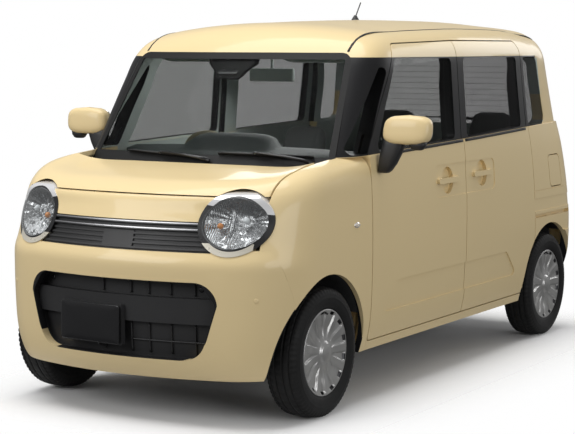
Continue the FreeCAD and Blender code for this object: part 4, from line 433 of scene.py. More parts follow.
chrome = bright_metal("plated_chrome", (0.86, 0.86, 0.87), 0.07)
bar_finish = bright_metal("grille_bar_edge", BAR_BRIGHT, 0.30)
_, _, z = bar_finish.place()
edge = ((z > 0.8165) * (z < 0.823)).most(z > 0.8405)
bar_finish.feed("Base Color", bar_finish.mix(edge, BAR_BLACK, BAR_BRIGHT))
bar_finish.feed("Metallic", edge)
bar_finish.on(nodes["grille_bars"])


# Headlamps: an oval bowl with a fluted reflector, darkened in patches with painted shade and
# reflections, a bulb and an amber winker behind a clear lens. Round it lie a chrome eyelid,
# whitened with a painted reflection, a black outer wedge and a silver crescent.
LAMP_X = 0.504
LAMP_Z = 0.846
LAMP_WIDE = 0.143
LAMP_TALL = 0.131
LENS_WIDE = 0.124
LENS_TALL = 0.102
RING_INNER = 0.835
WEDGE_BLACK = (0.012, 0.012, 0.013)
LID_CHROME_AND_PAINTED_REFLECTION = (0.90, 0.90, 0.91)
CRESCENT_SILVER = (0.72, 0.68, 0.58)

bezel_finish = Finish("lamp_surround", WEDGE_BLACK, 0.2)
x, _, z = bezel_finish.place()
out_share = (abs(x) - LAMP_X) / LAMP_WIDE
up_share = (z - LAMP_Z) / LAMP_TALL
ring = (out_share * out_share + up_share * up_share) ** 0.5
rim_zone = ring > RING_INNER
lid = rim_zone * (up_share > (0.42 - out_share * 0.16))
crescent = rim_zone * (up_share < -0.60) * (out_share < 0.62)
bright = lid.most(crescent)
# The eyelid is pale white and only partly metallic: a painted reflection of the bright studio on
# its chrome.
metal = bezel_finish.mix(crescent, LID_CHROME_AND_PAINTED_REFLECTION, CRESCENT_SILVER)
bezel_finish.feed("Base Color", bezel_finish.mix(bright, WEDGE_BLACK, metal))
bezel_finish.feed("Metallic", bright * 0.45)
bezel_finish.feed("Roughness", 0.26 - lid * 0.17 + bezel_finish.noise(40.0) * 0.04)
bezel_finish.on(nodes["headlamp_bezels"])

lens_finish = Finish("clear_lens", (0.85, 0.87, 0.88), 0.03)
lens_finish.veil(lens_finish.gleam() + 0.015 + lens_finish.noise(3.0) * 0.01, (0.93, 0.94, 0.94))
lens_finish.on(nodes["headlamp_lenses"])

reflector = Finish("fluted_reflector", (0.62, 0.63, 0.64), 0.16, metallic=1.0)
x, _, _ = reflector.place()
flute = ((abs(x) * 900.0).wave() * 0.5 + 0.5) * (reflector.noise(38.0, 3.0) > 0.42)
mottle_and_painted_shade = reflector.noise(95.0, 2.0)
# Its dark patches are painted shade and dark reflections inside the lamp; the same noise also
# varies the roughness and the bumps.
reflector.feed("Base Color", reflector.mix(mottle_and_painted_shade, (0.10, 0.10, 0.105), (0.66, 0.67, 0.68)))
reflector.feed("Roughness", 0.10 + mottle_and_painted_shade * 0.22)
reflector.bump(flute + mottle_and_painted_shade * 0.5, 0.7, 0.003)
amber = Finish("amber_bulb", (0.62, 0.22, 0.035), 0.2)
amber.feed("Roughness", 0.14 + amber.noise(80.0) * 0.15)
bulb_finish = Finish("bulb_glass", (0.75, 0.78, 0.80), 0.1)
bulb_finish.feed("Roughness", 0.06 + bulb_finish.noise(50.0) * 0.1)


def skin_of(*names):
    """Everything that a ray can meet on some CAD nodes."""
    verts = []
    faces = []
    for name in names:
        base = len(verts)
        mesh = nodes[name].data
        verts += [v.co.copy() for v in mesh.vertices]
        faces += [[base + i for i in face.vertices] for face in mesh.polygons]
    return BVHTree.FromPolygons(verts, faces)


def met(skin, start, way):
    """Place and direction of the skin where a ray meets it."""
    place, normal, _, _ = skin.ray_cast(Vector(start), Vector(way))
    if place is None:
        return None
    if normal.dot(Vector(way)) > 0:
        normal = -normal
    return place, normal


def piece(name, verts, faces, finish, body="body"):
    """A smooth mesh that rides on one body of the car."""
    mesh = bpy.data.meshes.new(name)
    mesh.from_pydata([tuple(v) for v in verts], [], faces)
    mesh.validate()
    mesh.update()
    made = bpy.data.objects.new(name, mesh)
    scene.collection.objects.link(made)
    for face in mesh.polygons:
        face.use_smooth = True
    finish.on(made)
    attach(made, body)
    return made


def tidy(made):
    """Turns every face of a closed piece outwards."""
    work = bmesh.new()
    work.from_mesh(made.data)
    bmesh.ops.recalc_face_normals(work, faces=work.faces)
    work.to_mesh(made.data)
    work.free()
    return made


def sweep(loops, closed=False):
    """Faces that join a row of equal loops of points, with flat ends unless it is closed."""
    count = len(loops[0])
    verts = [point for loop in loops for point in loop]
    faces = []
    rows = len(loops) if closed else len(loops) - 1
    for i in range(rows):
        here = i * count
        there = (i + 1) % len(loops) * count
        for j in range(count):
            k = (j + 1) % count
            faces.append((here + j, here + k, there + k, there + j))
    if not closed:
        faces.append(tuple(range(count))[::-1])
        faces.append(tuple((len(loops) - 1) * count + j for j in range(count)))
    return verts, faces


def turns(steps):
    """The angles of one full turn in equal steps."""
    return [2 * math.pi * k / steps for k in range(steps)]


def lathe(profile, centre, way, steps):
    """Turns (along, radius) points about an axle through a centre."""
    aim = Vector(way).to_track_quat("Z", "Y")
    loops = []
    for along, radius in profile:
        loops.append([
            Vector(centre) + aim @ Vector((math.cos(turn) * radius, math.sin(turn) * radius, along))
            for turn in turns(steps)])
    return sweep(loops)


def mirror_x(made, name):
    """The same piece on the other side of the car."""
    mesh = made.data.copy()
    for vertex in mesh.vertices:
        vertex.co.x = -vertex.co.x
    mesh.flip_normals()
    other = bpy.data.objects.new(name, mesh)
    scene.collection.objects.link(other)
    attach(other, "body")


AHEAD = -2.4
BACKWARDS = (0, 1, 0)
LENS_FRONT = -1.60
lens_skin = skin_of("headlamp_lenses")


def lamp_point(share_x, share_z, depth):
    """Point a depth behind the lens, given as shares of its half sizes."""
    at = (LAMP_X + share_x * LENS_WIDE, AHEAD, LAMP_Z + share_z * LENS_TALL)
    found = met(lens_skin, at, BACKWARDS)
    front = found[0].y if found else LENS_FRONT
    return Vector((at[0], front + depth, at[2]))


RINGS = 26
SPOKES = 96
BOWL_REACH = 0.975
BOWL_FLOOR = 0.072
FLUTES = 20
BULB_ROWS = 10
BULB_TIP = 0.0008
bowl_verts = []
bowl_faces = []
for i in range(RINGS + 1):
    share = BOWL_REACH * i / RINGS
    for turn in turns(SPOKES):
        u = share * math.cos(turn)
        w = share * math.sin(turn)
        dish = 0.052 * (1 - share**2) + 0.012
        main = math.exp(-(((u - 0.28) / 0.42)**2 + ((w - 0.05) / 0.55)**2) * 1.6)
        winker = math.exp(-(((u + 0.62) / 0.26)**2 + ((w + 0.06) / 0.45)**2) * 1.6)
        wall = math.exp(-((u + 0.22) / 0.07)**2)
        depth = dish + 0.018 * main + 0.010 * winker - 0.026 * wall * (1 - share)
        depth += 0.0022 * math.sin(turn * FLUTES) * share * (0.4 + 0.6 * (w > 0))
        bowl_verts.append(lamp_point(u, w, min(BOWL_FLOOR, depth)))
for i in range(RINGS):
    for k in range(SPOKES):
        j = (k + 1) % SPOKES
        here = i * SPOKES
        next_ring = here + SPOKES
        bowl_faces.append((here + k, next_ring + k, next_ring + j, here + j))
bowl = piece("lamp_bowl_left", bowl_verts, bowl_faces, reflector)
mirror_x(bowl, "lamp_bowl_right")
for name, finish, u, w, depth, radius in (
        ("headlamp_bulb", bulb_finish, 0.26, 0.10, 0.040, 0.014),
        ("winker_bulb", amber, -0.50, -0.12, 0.030, 0.013)):
    profile = []
    for i in range(BULB_ROWS + 1):
        share = 2 * i / BULB_ROWS - 1
        profile.append((radius * share, max(BULB_TIP, math.sqrt(max(0.0, 1 - share**2)) * radius)))
    mesh = lathe(profile, lamp_point(u, w, depth), BACKWARDS, 20)
    bulb = tidy(piece(name + "_left", *mesh, finish))
    mirror_x(bulb, name + "_right")


# Tyres: 155/65 R14 with a closed shoulder, five straight ribs and fine cross cuts, and a
# ridged sidewall. The pattern turns with the wheel.
CORNERS = ("front_left", "front_right", "rear_left", "rear_right")
TYRE_RADIUS = 0.2785
TYRE_STEPS = 216
TREAD_CROWN = 1.6
GROOVE_DEPTH = 0.0062
GROOVES = ((0.0440, 0.0490), (0.0150, 0.0200))
tyre_finish = Finish("tyre_rubber", (0.006, 0.006, 0.0062), 0.75, specular_ior_level=0.3)
worn = tyre_finish.noise(30.0, 3.0)
tyre_finish.feed("Base Color", tyre_finish.mix(
    worn * 0.6, (0.004, 0.004, 0.0042), (0.010, 0.010, 0.010)))
tyre_finish.feed("Roughness", 0.56 + worn * 0.2)
tyre_finish.bump(tyre_finish.noise(700.0, 1.0), 0.15, 0.0005)

# From the bead to the shoulder (half width, radius), then across the tread (half width).
wall_line = [
    (0.0640, 0.1830), (0.0672, 0.1900), (0.0700, 0.1935), (0.0712, 0.1960), (0.0738, 0.2040),
    (0.0762, 0.2130), (0.0773, 0.2220), (0.0775, 0.2290), (0.0781, 0.2310), (0.0781, 0.2340),
    (0.0772, 0.2360), (0.0762, 0.2440), (0.0745, 0.2520), (0.0725, 0.2575), (0.0700, 0.2625),
    (0.0672, 0.2668), (0.0640, 0.2702)]
tread_line = [
    0.0606, 0.0570, 0.0528, 0.0500, 0.0490, 0.0440, 0.0430, 0.0400, 0.0340, 0.0280, 0.0210,
    0.0200, 0.0150, 0.0140, 0.0100, 0.0050, 0.0]
section = [(a, r, 0) for a, r in wall_line]
for a in tread_line:
    groove = GROOVE_DEPTH if any(start <= a <= end for start, end in GROOVES) else 0.0
    section.append((a, TYRE_RADIUS - TREAD_CROWN * a * a - groove, 1))
section += [(-a, r, kind) for a, r, kind in section[-2::-1]]


def tyre_mesh(centre):
    """The section turned about the axle, with a cross cut at every few steps."""
    loops = []
    for k, turn in enumerate(turns(TYRE_STEPS)):
        loop = []
        for a, r, kind in section:
            cut = 0.0
            reach = abs(a)
            if reach > 0.0500 and r > 0.256 and k % 3 == 0:
                cut = 0.0050
            elif kind and 0.0280 < reach < 0.0440 and (k + (1 if a > 0 else 2)) % 4 == 0:
                cut = 0.0045
            elif kind and reach < 0.0150 and k % 6 == 0:
                cut = 0.0030
            radius = r - cut
            loop.append(centre + Vector((a, math.cos(turn) * radius, math.sin(turn) * radius)))
        loops.append(loop)
    return sweep(loops, closed=True)


for corner in CORNERS:
    low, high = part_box("tyre_" + corner)
    tread = tidy(piece("tread_" + corner, *tyre_mesh((low + high) / 2), tyre_finish,
                       "wheel_" + corner))
    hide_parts("tyre_" + corner)
    tyre_finish.on(nodes["tyre_" + corner])


# Wheel covers: a dished, painted plastic disc whose valleys widen outwards between flat fins,
# with a vent at the end of each valley and a plain raised cap, over a steel barrel.
FIN_COUNT = 13
COVER_STEPS = FIN_COUNT * 20
COVER_RADIUS = 0.186
COVER_RINGS = 44
COVER_STAND = 0.0695
COVER_LIP = 0.182
CAP_RADIUS = 0.052
VALLEY_START = 0.058
VALLEY_END = 0.178
VENT_START = 0.163
VENT_END = 0.176
BARREL_STEPS = 72
VALVE_RADIUS = 0.004
cover_finish = Finish("silver_cover", (0.42, 0.42, 0.415), 0.34, metallic=0.75)
film = cover_finish.noise(9.0, 3.0)
cover_finish.feed("Base Color", cover_finish.mix(
    film * 0.5, (0.44, 0.44, 0.435), (0.34, 0.335, 0.325)))
cover_finish.feed("Roughness", 0.28 + film * 0.14)
cover_finish.bump(cover_finish.noise(1500.0, 1.0), 0.03, 0.0003)
steel = grained("bare_steel", (0.10, 0.10, 0.105), 0.5, 200.0, 0.2, metallic=0.7)


def cover_height(radius, turn):
    """How far the cover stands out from its rim's edge, and whether a vent is there."""
    phase = (turn * FIN_COUNT / (2 * math.pi)) % 1.0
    across = abs(phase - 0.5) * 2
    dish = -0.012 * math.exp(-((radius - 0.085) / 0.05)**2)
    dish += 0.004 * (1 - min(1.0, radius / 0.18))
    if radius < CAP_RADIUS:
        cap = 1 / (1 + math.exp((radius - 0.044) * 900))
        return dish + 0.010 * cap - 0.003 * math.exp(-((radius - 0.036) / 0.002)**2), False
    reach = min(1.0, max(0.0, (radius - VALLEY_START) / 0.05))
    end = min(1.0, max(0.0, (VALLEY_END - radius) / 0.012))
    width = 0.30 + 0.34 * (radius - VALLEY_START) / 0.12
    valley = min(1.0, max(0.0, (width - across) / 0.16))
    valley = valley * valley * (3 - 2 * valley)
    skew = 0.35 + 0.65 * phase
    vent = VENT_START < radius < VENT_END and across < 0.30
    return dish - 0.013 * valley * reach * end * skew, vent


def wheel_cover(centre, outward):
    """Rings of points on the cover's face, left open where a vent is."""
    radii = [0.001 + (COVER_RADIUS - 0.001) * i / COVER_RINGS for i in range(COVER_RINGS + 1)]
    verts = []
    faces = []
    for radius in radii:
        for turn in turns(COVER_STEPS):
            height, _ = cover_height(radius, turn)
            edge = 0.0 if radius < COVER_LIP else -0.004
            verts.append(centre + Vector((
                (COVER_STAND + height + edge) * outward,
                math.cos(turn) * radius, math.sin(turn) * radius)))
    for i in range(len(radii) - 1):
        for k in range(COVER_STEPS):
            middle = (radii[i] + radii[i + 1]) / 2
            if cover_height(middle, 2 * math.pi * (k + 0.5) / COVER_STEPS)[1]:
                continue
            j = (k + 1) % COVER_STEPS
            faces.append((i * COVER_STEPS + k, i * COVER_STEPS + j,
                          (i + 1) * COVER_STEPS + j, (i + 1) * COVER_STEPS + k))
    return verts, faces


def barrel(centre, outward):
    """Steel rim behind the cover: two flanges, a well, and a disc with the hub."""
    line = [(-0.069, 0.180), (-0.069, 0.1862), (-0.060, 0.1862), (-0.042, 0.168), (0.033, 0.168),
            (0.051, 0.1862), (0.066, 0.1862), (0.069, 0.181), (0.050, 0.176), (0.034, 0.162),
            (0.030, 0.060), (0.030, 0.0006), (-0.001, 0.0006), (-0.001, 0.054), (0.022, 0.056),
            (0.024, 0.158), (-0.042, 0.162)]
    loops = []
    for along, radius in line:
        loops.append([centre + Vector((
            along * outward, math.cos(turn) * radius, math.sin(turn) * radius))
            for turn in turns(BARREL_STEPS)])
    return sweep(loops, closed=True)


def tube(points, radius, sides=12):
    """A round bar along a row of points."""
    loops = []
    for i, point in enumerate(points):
        point = Vector(point)
        ahead = Vector(points[min(i + 1, len(points) - 1)]) - Vector(points[max(i - 1, 0)])
        aim = ahead.to_track_quat("Z", "Y")
        thick = radius[i] if isinstance(radius, (list, tuple)) else radius
        loops.append([point + aim @ Vector((math.cos(turn) * thick, math.sin(turn) * thick, 0))
                      for turn in turns(sides)])
    return sweep(loops)


for corner in CORNERS:
    low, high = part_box("tyre_" + corner)
    middle = (low + high) / 2
    outward = 1 if middle.x > 0 else -1
    wheel = "wheel_" + corner
    steel.on(nodes["rim_" + corner])
    drum = tidy(piece("barrel_" + corner, *barrel(middle, outward), steel, wheel))
    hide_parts("rim_" + corner)
    piece("cover_" + corner, *wheel_cover(middle, outward), cover_finish, wheel)
    stem = middle + Vector((0.066 * outward, 0, 0.171))
    tip = stem + Vector((0.012 * outward, 0, -0.006))
    tidy(piece("valve_" + corner, *tube([stem, tip], VALVE_RADIUS), rubber, wheel))


# Cabin: a grained two-tone dashboard, moulded in one, under a soft pad that rises in a hood over
# the dials. The steering wheel is black with a beige rim, and its column and the seats' frames
# are covered in dark moulded plastic.
DASH_GREY = (0.085, 0.102, 0.098)
DASH_BEIGE = (0.52, 0.47, 0.34)
PAD_HALF_WIDTH = 0.600
PAD_STEPS = 40
PAD_FOOT = 1.020
HOOD_X = -0.055
HOOD_HALF_WIDTH = 0.235
HOOD_RISE = 0.058
WHEEL_BLACK = (0.03, 0.032, 0.032)
WHEEL_BEIGE = (0.44, 0.39, 0.27)
WHEEL_RIM = 0.158

dash_finish = grained("dashboard_moulding", DASH_GREY, 0.62, 380.0, 0.4)
_, y, z = dash_finish.place()
dash_band = (z > 0.82) * (z < 0.925) * (y > -0.62)
dash_finish.feed("Base Color", dash_finish.mix(dash_band, DASH_GREY, DASH_BEIGE))
dash_finish.on(nodes["dashboard"])

pad_rows = []
for i in range(PAD_STEPS + 1):
    x = PAD_HALF_WIDTH * (2 * i / PAD_STEPS - 1)
    edge = (x / PAD_HALF_WIDTH) ** 2
    front = -0.985 + 0.215 * edge
    level = 1.060 - 0.012 * edge
    rise = HOOD_RISE * max(0.0, 1 - ((x - HOOD_X) / HOOD_HALF_WIDTH) ** 4) ** 0.5
    pad_rows.append([Vector((x, y, z)) for y, z in (
        (-0.612, PAD_FOOT), (-0.596, level + 0.010), (-0.600, level + 0.030 + rise * 0.7),
        (-0.615, level + 0.042 + rise), (-0.660, level + 0.044 + rise),
        (-0.715, level + 0.036 + rise * 0.75), (-0.745, level + 0.032),
        (front * 0.5 - 0.36, level + 0.020), (front, level - 0.012), (front + 0.010, PAD_FOOT))])
tidy(piece("dashboard_pad", *sweep(pad_rows), dash_finish))

wheel_low, wheel_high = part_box("steering_wheel")
wheel_middle = (wheel_low + wheel_high) / 2
ring_finish = grained("steering_wheel_leather", WHEEL_BLACK, 0.5, 300.0, 0.3)
off_x, off_y, off_z = [at - middle for at, middle in zip(ring_finish.place(), wheel_middle)]
outer_ring = ((off_x * off_x + off_y * off_y + off_z * off_z) ** 0.5) > WHEEL_RIM
ring_finish.feed("Base Color", ring_finish.mix(outer_ring, WHEEL_BLACK, WHEEL_BEIGE))
ring_finish.on(nodes["steering_wheel"])
interior = grained("interior_moulding", (0.035, 0.038, 0.037), 0.66, 380.0, 0.4)
interior.on(nodes["steering_column"], nodes["seat_frames"])


# Underbody: pressed steel under black sealant, with carpet on the pan's upper side. The engine
# and the knuckles are cast, the exhaust and the radiator are plated sheet, and road dirt lies
# on all of them.
def dirty_metal(name, colour, roughness, metallic):
    """Metal or sealant with patches of grime."""
    finish = Finish(name, colour, roughness, metallic=metallic)
    grime = finish.noise(14.0, 4.0)
    finish.feed("Base Color", finish.mix(grime, colour, (0.035, 0.031, 0.027)))
    finish.feed("Roughness", roughness - 0.1 + grime * 0.3)
    finish.bump(finish.noise(160.0, 3.0), 0.3, 0.001)
    return finish


sealed = dirty_metal("underbody_sealant", (0.022, 0.022, 0.023), 0.75, 0.0)
carpet = Finish("floor_carpet_over_sealant", (0.02, 0.021, 0.022), 0.95)
pile = carpet.noise(1100.0, 2.0)
carpet.feed("Base Color", carpet.mix(pile, (0.012, 0.012, 0.013), (0.045, 0.047, 0.048)))
carpet.bump(pile, 0.8, 0.002)
carpet.on(nodes["floor_pan"])
sealed.on(nodes["front_structure"], nodes["front_subframe"], nodes["rear_axle"], nodes["fuel_tank"])
cast = dirty_metal("cast_aluminium", (0.30, 0.30, 0.30), 0.55, 0.8)
cast.on(nodes["engine_block"], nodes["knuckle_left"], nodes["knuckle_right"])
sheet_steel = dirty_metal("aluminised_steel", (0.36, 0.35, 0.34), 0.45, 0.9)
sheet_steel.on(nodes["exhaust"], nodes["radiator"])


# Tail lamps: upright red lenses with fine ribs on their inside, moulded in clear plastic and
# screwed into the corners of the body.
red_lens = Finish("red_lens", (0.42, 0.010, 0.012), 0.12, coat_weight=1.0, coat_roughness=0.03)
_, _, z = red_lens.place()
rib = (z * 700.0).wave()
red_lens.feed("Base Color", red_lens.mix(
    rib * 0.5 + 0.5, (0.30, 0.006, 0.008), (0.55, 0.03, 0.03)))
red_lens.bump(rib, 0.25, 0.001)
red_lens.on(nodes["tail_lamps"])


# Door mirrors: a cream moulded shell on a black foot that is screwed to the door, with a small
# camera's pod under it and silvered glass that faces the driver.
SHELL_MIDDLE = Vector((0.861, -0.6935, 1.200))
SHELL_HALF_WIDTH = 0.113
SHELL_HALF_DEPTH = 0.046
SHELL_HALF_HEIGHT = 0.0645
SHELL_ROWS = 24
SHELL_STEPS = 32
SHELL_SQUARENESS = 3.2
GLASS_HALF_WIDTH = 0.098
GLASS_HALF_HEIGHT = 0.050
GLASS_CORNER = 0.030
CORNER_STEPS = 6

silvered = bright_metal("silvered_mirror_glass", (0.80, 0.82, 0.83), 0.03)


def plate_loops(middle, half_wide, half_tall, thick, corner, way, lift=(0, 0, 1), crown=0.0):
    """A plate with round corners whose front, a little crowned, looks along way."""
    way = Vector(way).normalized()
    across = Vector(lift).cross(way).normalized()
    above = way.cross(across)
    loops = []
    for out, share in ((-thick, 0.97), (-thick, 1.0), (-thick * 0.25, 1.0), (0.0, 0.97),
                       (crown * 0.5, 0.70), (crown * 0.85, 0.40), (crown, 0.05)):
        loop = []
        for quarter in range(4):
            mid_x = (half_wide - corner) * (1 if quarter in (0, 3) else -1)
            mid_z = (half_tall - corner) * (1 if quarter in (0, 1) else -1)
            for k in range(CORNER_STEPS + 1):
                turn = math.pi / 2 * (quarter + k / CORNER_STEPS)
                wide = mid_x + corner * math.cos(turn)
                tall = mid_z + corner * math.sin(turn)
                loop.append(Vector(middle) + way * out
                            + across * wide * share + above * tall * share)
        loops.append(loop)
    return sweep(loops)


def rounded_loop(middle, half_wide, half_deep):
    """Level loop of a rounded rectangle."""
    loop = []
    for turn in turns(SHELL_STEPS):
        wide = math.copysign(abs(math.cos(turn)) ** (2 / SHELL_SQUARENESS), math.cos(turn))
        deep = math.copysign(abs(math.sin(turn)) ** (2 / SHELL_SQUARENESS), math.sin(turn))
        loop.append(Vector(middle) + Vector((half_wide * wide, half_deep * deep, 0)))
    return loop


shell_rows = []
for i in range(SHELL_ROWS + 1):
    height = 2 * i / SHELL_ROWS - 1
    swell = max(0.02, (1 - abs(height) ** 3.6) ** (1 / 2.8))
    shell_rows.append(rounded_loop(
        SHELL_MIDDLE + Vector((0.004, 0.006, SHELL_HALF_HEIGHT)) * height,
        SHELL_HALF_WIDTH * swell - 0.004 * max(0.0, height),
        SHELL_HALF_DEPTH * swell ** 0.6 - 0.002))
foot_rows = [rounded_loop(middle, wide, deep) for middle, wide, deep in (
    ((0.800, -0.699, 1.160), 0.046, 0.028), ((0.797, -0.699, 1.135), 0.050, 0.030),
    ((0.783, -0.700, 1.095), 0.049, 0.031), ((0.768, -0.701, 1.050), 0.040, 0.029),
    ((0.755, -0.701, 1.020), 0.030, 0.026), ((0.752, -0.701, 1.010), 0.020, 0.018))]
pod_rows = [rounded_loop((0.912, -0.700, height), wide, deep) for height, wide, deep in (
    (1.150, 0.040, 0.024), (1.132, 0.037, 0.024), (1.118, 0.027, 0.018), (1.114, 0.018, 0.012))]
mirror_paint = cream_paint("cream_mirror_shell")
for side, sign in (("left", 1), ("right", -1)):
    _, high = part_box("door_mirror_" + side)
    door = "front_door_" + side
    shell = tidy(piece("mirror_shell_" + side, *sweep(shell_rows), mirror_paint, door))
    foot = tidy(piece("mirror_foot_" + side, *sweep(foot_rows), black_moulding, door))
    pod = tidy(piece("mirror_pod_" + side, *sweep(pod_rows), black_moulding, door))
    for part in (shell, foot, pod):
        for vertex in part.data.vertices:
            vertex.co.x *= sign
        if sign < 0:
            part.data.flip_normals()
    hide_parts("door_mirror_" + side)
    mirror_paint.on(nodes["door_mirror_" + side])
    middle = (SHELL_MIDDLE.x * sign, high.y - 0.0015, SHELL_MIDDLE.z)
    tidy(piece("mirror_glass_" + side, *plate_loops(
        middle, GLASS_HALF_WIDTH, GLASS_HALF_HEIGHT, 0.004, GLASS_CORNER, (0, 1, 0), crown=0.001),
        silvered, door))


# Cabin mirror and antenna: a grey-green moulded shell on a stalk that is glued to the screen,
# and a black whip in a rubber foot on the roof.
pale_trim = grained("pale_trim_moulding", TRIM_GREY, 0.7, 420.0, 0.25)
pale_trim.on(nodes["cabin_mirror"])
black_moulding.on(nodes["antenna"])


# Seats: woven covers drawn over foam. Each pad starts as a block with round edges, is pumped
# up as cloth between its sewn lines, and is kept inside the room of its CAD block.
PAD_VOXEL = 0.013
PAD_CAP = 0.011
SEAM_DEPTH = 0.005
SEAM_WIDTH = 0.007
CLOTH_FRAMES = 20
CLOTH_PRESSURE = 4.0
SEAT_LEAN = math.radians(18)
BACK_DEPTH = 0.065
FRONT_SEAT_X = 0.300
FRONT_HINGE = (0.1541, 0.412)
REAR_HINGE = (1.2241, 0.540)
CUSHION_DISH = 0.016
CUSHION_ROLL = 0.020
CUSHION_SEAM_X = 0.150
CUSHION_SEAM_Y = 0.040
BACK_DISH = 0.020
BACK_TAPER = 0.012
BACK_SEAM_X = 0.145
BACK_SEAM_Y = 0.030
BACK_SEAM_Z = 0.020
REST_CURVE = 0.010
REST_SEAM_X = 0.085
BENCH_SEAMS_X = (0.12, 0.40)
BENCH_FROM = 0.4
POST_X = 0.07
POST_RADIUS = 0.006

fabric = Finish("seat_fabric", (0.05, 0.055, 0.054), 0.9, sheen_weight=0.3)
x, y, z = fabric.place()
weave = ((x * 1900.0).wave() * ((y + z) * 1900.0).wave()) * 0.5 + 0.5
blotch = fabric.noise(18.0, 3.0)
fabric.feed("Base Color", fabric.mix(
    weave * 0.6 + blotch * 0.4, (0.045, 0.050, 0.049), (0.125, 0.132, 0.130)))
fabric.feed("Roughness", 0.82 + blotch * 0.12)
fabric.bump(weave + fabric.noise(700.0, 2.0) * 0.5, 0.5, 0.0012)


def block_with_round_edges(half, radius, form):
    """Closed mesh of a padded block about its own middle, bent by form."""
    work = bmesh.new()
    bmesh.ops.create_cube(work, size=2.0)
    bmesh.ops.subdivide_edges(work, edges=work.edges, cuts=15, use_grid_fill=True)
    inner = Vector([max(0.001, h - radius) for h in half])
    for vertex in work.verts:
        full = Vector([vertex.co[i] * half[i] for i in range(3)])
        core = Vector([max(-inner[i], min(inner[i], full[i])) for i in range(3)])
        rest = full - core
        vertex.co = form(core + (rest.normalized() * radius if rest.length > 1e-6 else rest))
    mesh = bpy.data.meshes.new("block")
    work.to_mesh(mesh)
    work.free()
    return mesh


def settled(made, *modifiers):
    """The mesh of an object with its modifiers applied."""
    for kind, settings in modifiers:
        modifier = made.modifiers.new(kind.lower(), kind)
        for key, value in settings.items():
            setattr(modifier, key, value)
    graph = bpy.context.evaluated_depsgraph_get()
    mesh = bpy.data.meshes.new_from_object(made.evaluated_get(graph))
    made.modifiers.clear()
    made.data = mesh
    return mesh


def seat_pad(name, half, radius, form, seams, pose, replaced):
    """One stuffed piece: seams is a function that gives the distance to the nearest seam."""
    made = bpy.data.objects.new(name, block_with_round_edges(half, radius, form))
    scene.collection.objects.link(made)
    settled(made, ("REMESH", {"mode": "VOXEL", "voxel_size": PAD_VOXEL}))
    start = [vertex.co.copy() for vertex in made.data.vertices]
    sewn = made.vertex_groups.new(name="sewn")
    sewn.add([i for i, at in enumerate(start) if seams(at) < PAD_VOXEL * 0.6], 1.0, "REPLACE")
    stuffing = made.modifiers.new("stuffing", "CLOTH")
    stuffing.settings.use_pressure = True
    stuffing.settings.uniform_pressure_force = CLOTH_PRESSURE
    stuffing.settings.vertex_group_mass = "sewn"
    stuffing.settings.effector_weights.gravity = 0.0
    stuffing.point_cache.frame_start = 1
    stuffing.point_cache.frame_end = CLOTH_FRAMES
    for frame_number in range(1, CLOTH_FRAMES + 1):
        scene.frame_set(frame_number)
    graph = bpy.context.evaluated_depsgraph_get()
    swollen = [vertex.co.copy() for vertex in made.evaluated_get(graph).data.vertices]
    made.modifiers.clear()
    made.vertex_groups.clear()
    scene.frame_set(1)
    for vertex, rest, moved in zip(made.data.vertices, start, swollen):
        step = moved - rest
        if step.length > PAD_CAP:
            step = step.normalized() * PAD_CAP
        vertex.co = rest + step
    settled(made, ("SUBSURF", {"levels": 1}))
    normals = [vertex.normal.copy() for vertex in made.data.vertices]
    for vertex, normal in zip(made.data.vertices, normals):
        depth = SEAM_DEPTH * math.exp(-(seams(vertex.co) / SEAM_WIDTH)**2)
        vertex.co = vertex.co - normal * depth
    for vertex in made.data.vertices:
        vertex.co = pose @ vertex.co
    for face in made.data.polygons:
        face.use_smooth = True
    fabric.on(made)
    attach(made, "body")
    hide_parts(*replaced)
    return made


def copied(made, name, shift, replaced):
    """The same pad moved sideways."""
    mesh = made.data.copy()
    for vertex in mesh.vertices:
        vertex.co.x += shift
    other = bpy.data.objects.new(name, mesh)
    scene.collection.objects.link(other)
    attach(other, "body")
    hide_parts(*replaced)


def cushion_form(half, bolster):
    """Sinks the middle of a cushion between its side bolsters, and rounds its front edge."""
    def bend(at):
        if at.z > 0:
            aside = abs(at.x % (2 * bolster) - bolster) if half[0] > BENCH_FROM else abs(at.x)
            share = min(1.0, aside / bolster)
            at.z -= CUSHION_DISH * (1 - share * share)
            at.z -= CUSHION_ROLL * max(0.0, -at.y / half[1] - 0.6)
        at.x *= 1 - 0.05 * max(0.0, at.y / half[1])
        return at
    return bend


def back_form(half, shoulder):
    """Narrows a back at its shoulders, and sinks the middle of its front."""
    def bend(at):
        up = (at.z + half[2]) / (2 * half[2])
        at.x *= 1 - shoulder * max(0.0, up - 0.55)**2 / 0.2
        if at.y < 0:
            share = min(1.0, abs(at.x) / (half[0] * 0.62))
            at.y += BACK_DISH * (1 - share**2) * min(1.0, up * 3)
        else:
            at.y -= BACK_TAPER * up
        return at
    return bend


def rest_form(half):
    """Narrows a head rest upwards, and curves its front back a little."""
    def bend(at):
        up = (at.z + half[2]) / (2 * half[2])
        at.x *= 1 - 0.16 * up**3
        if at.y < 0:
            at.y += REST_CURVE * up * up
        return at
    return bend


# Seams: the distance from a point on a pad to the nearest sewn line, and 1 m where there is none.
def front_seams(at):
    side = abs(abs(at.x) - CUSHION_SEAM_X)
    cross = abs(at.y - CUSHION_SEAM_Y) if abs(at.x) < CUSHION_SEAM_X and at.z > 0 else 1.0
    return min(side, cross)


def back_seams(at):
    side = abs(abs(at.x) - BACK_SEAM_X) if at.y < 0.02 else 1.0
    cross = abs(at.z - BACK_SEAM_Z) if abs(at.x) < BACK_SEAM_X and at.y < 0 else 1.0
    return min(side, cross, abs(at.y - BACK_SEAM_Y))


def bench_lines(at):
    return min(abs(at.x), *(abs(abs(at.x) - line) for line in BENCH_SEAMS_X))


def bench_seams(at):
    return bench_lines(at) if at.z > 0 else 1.0


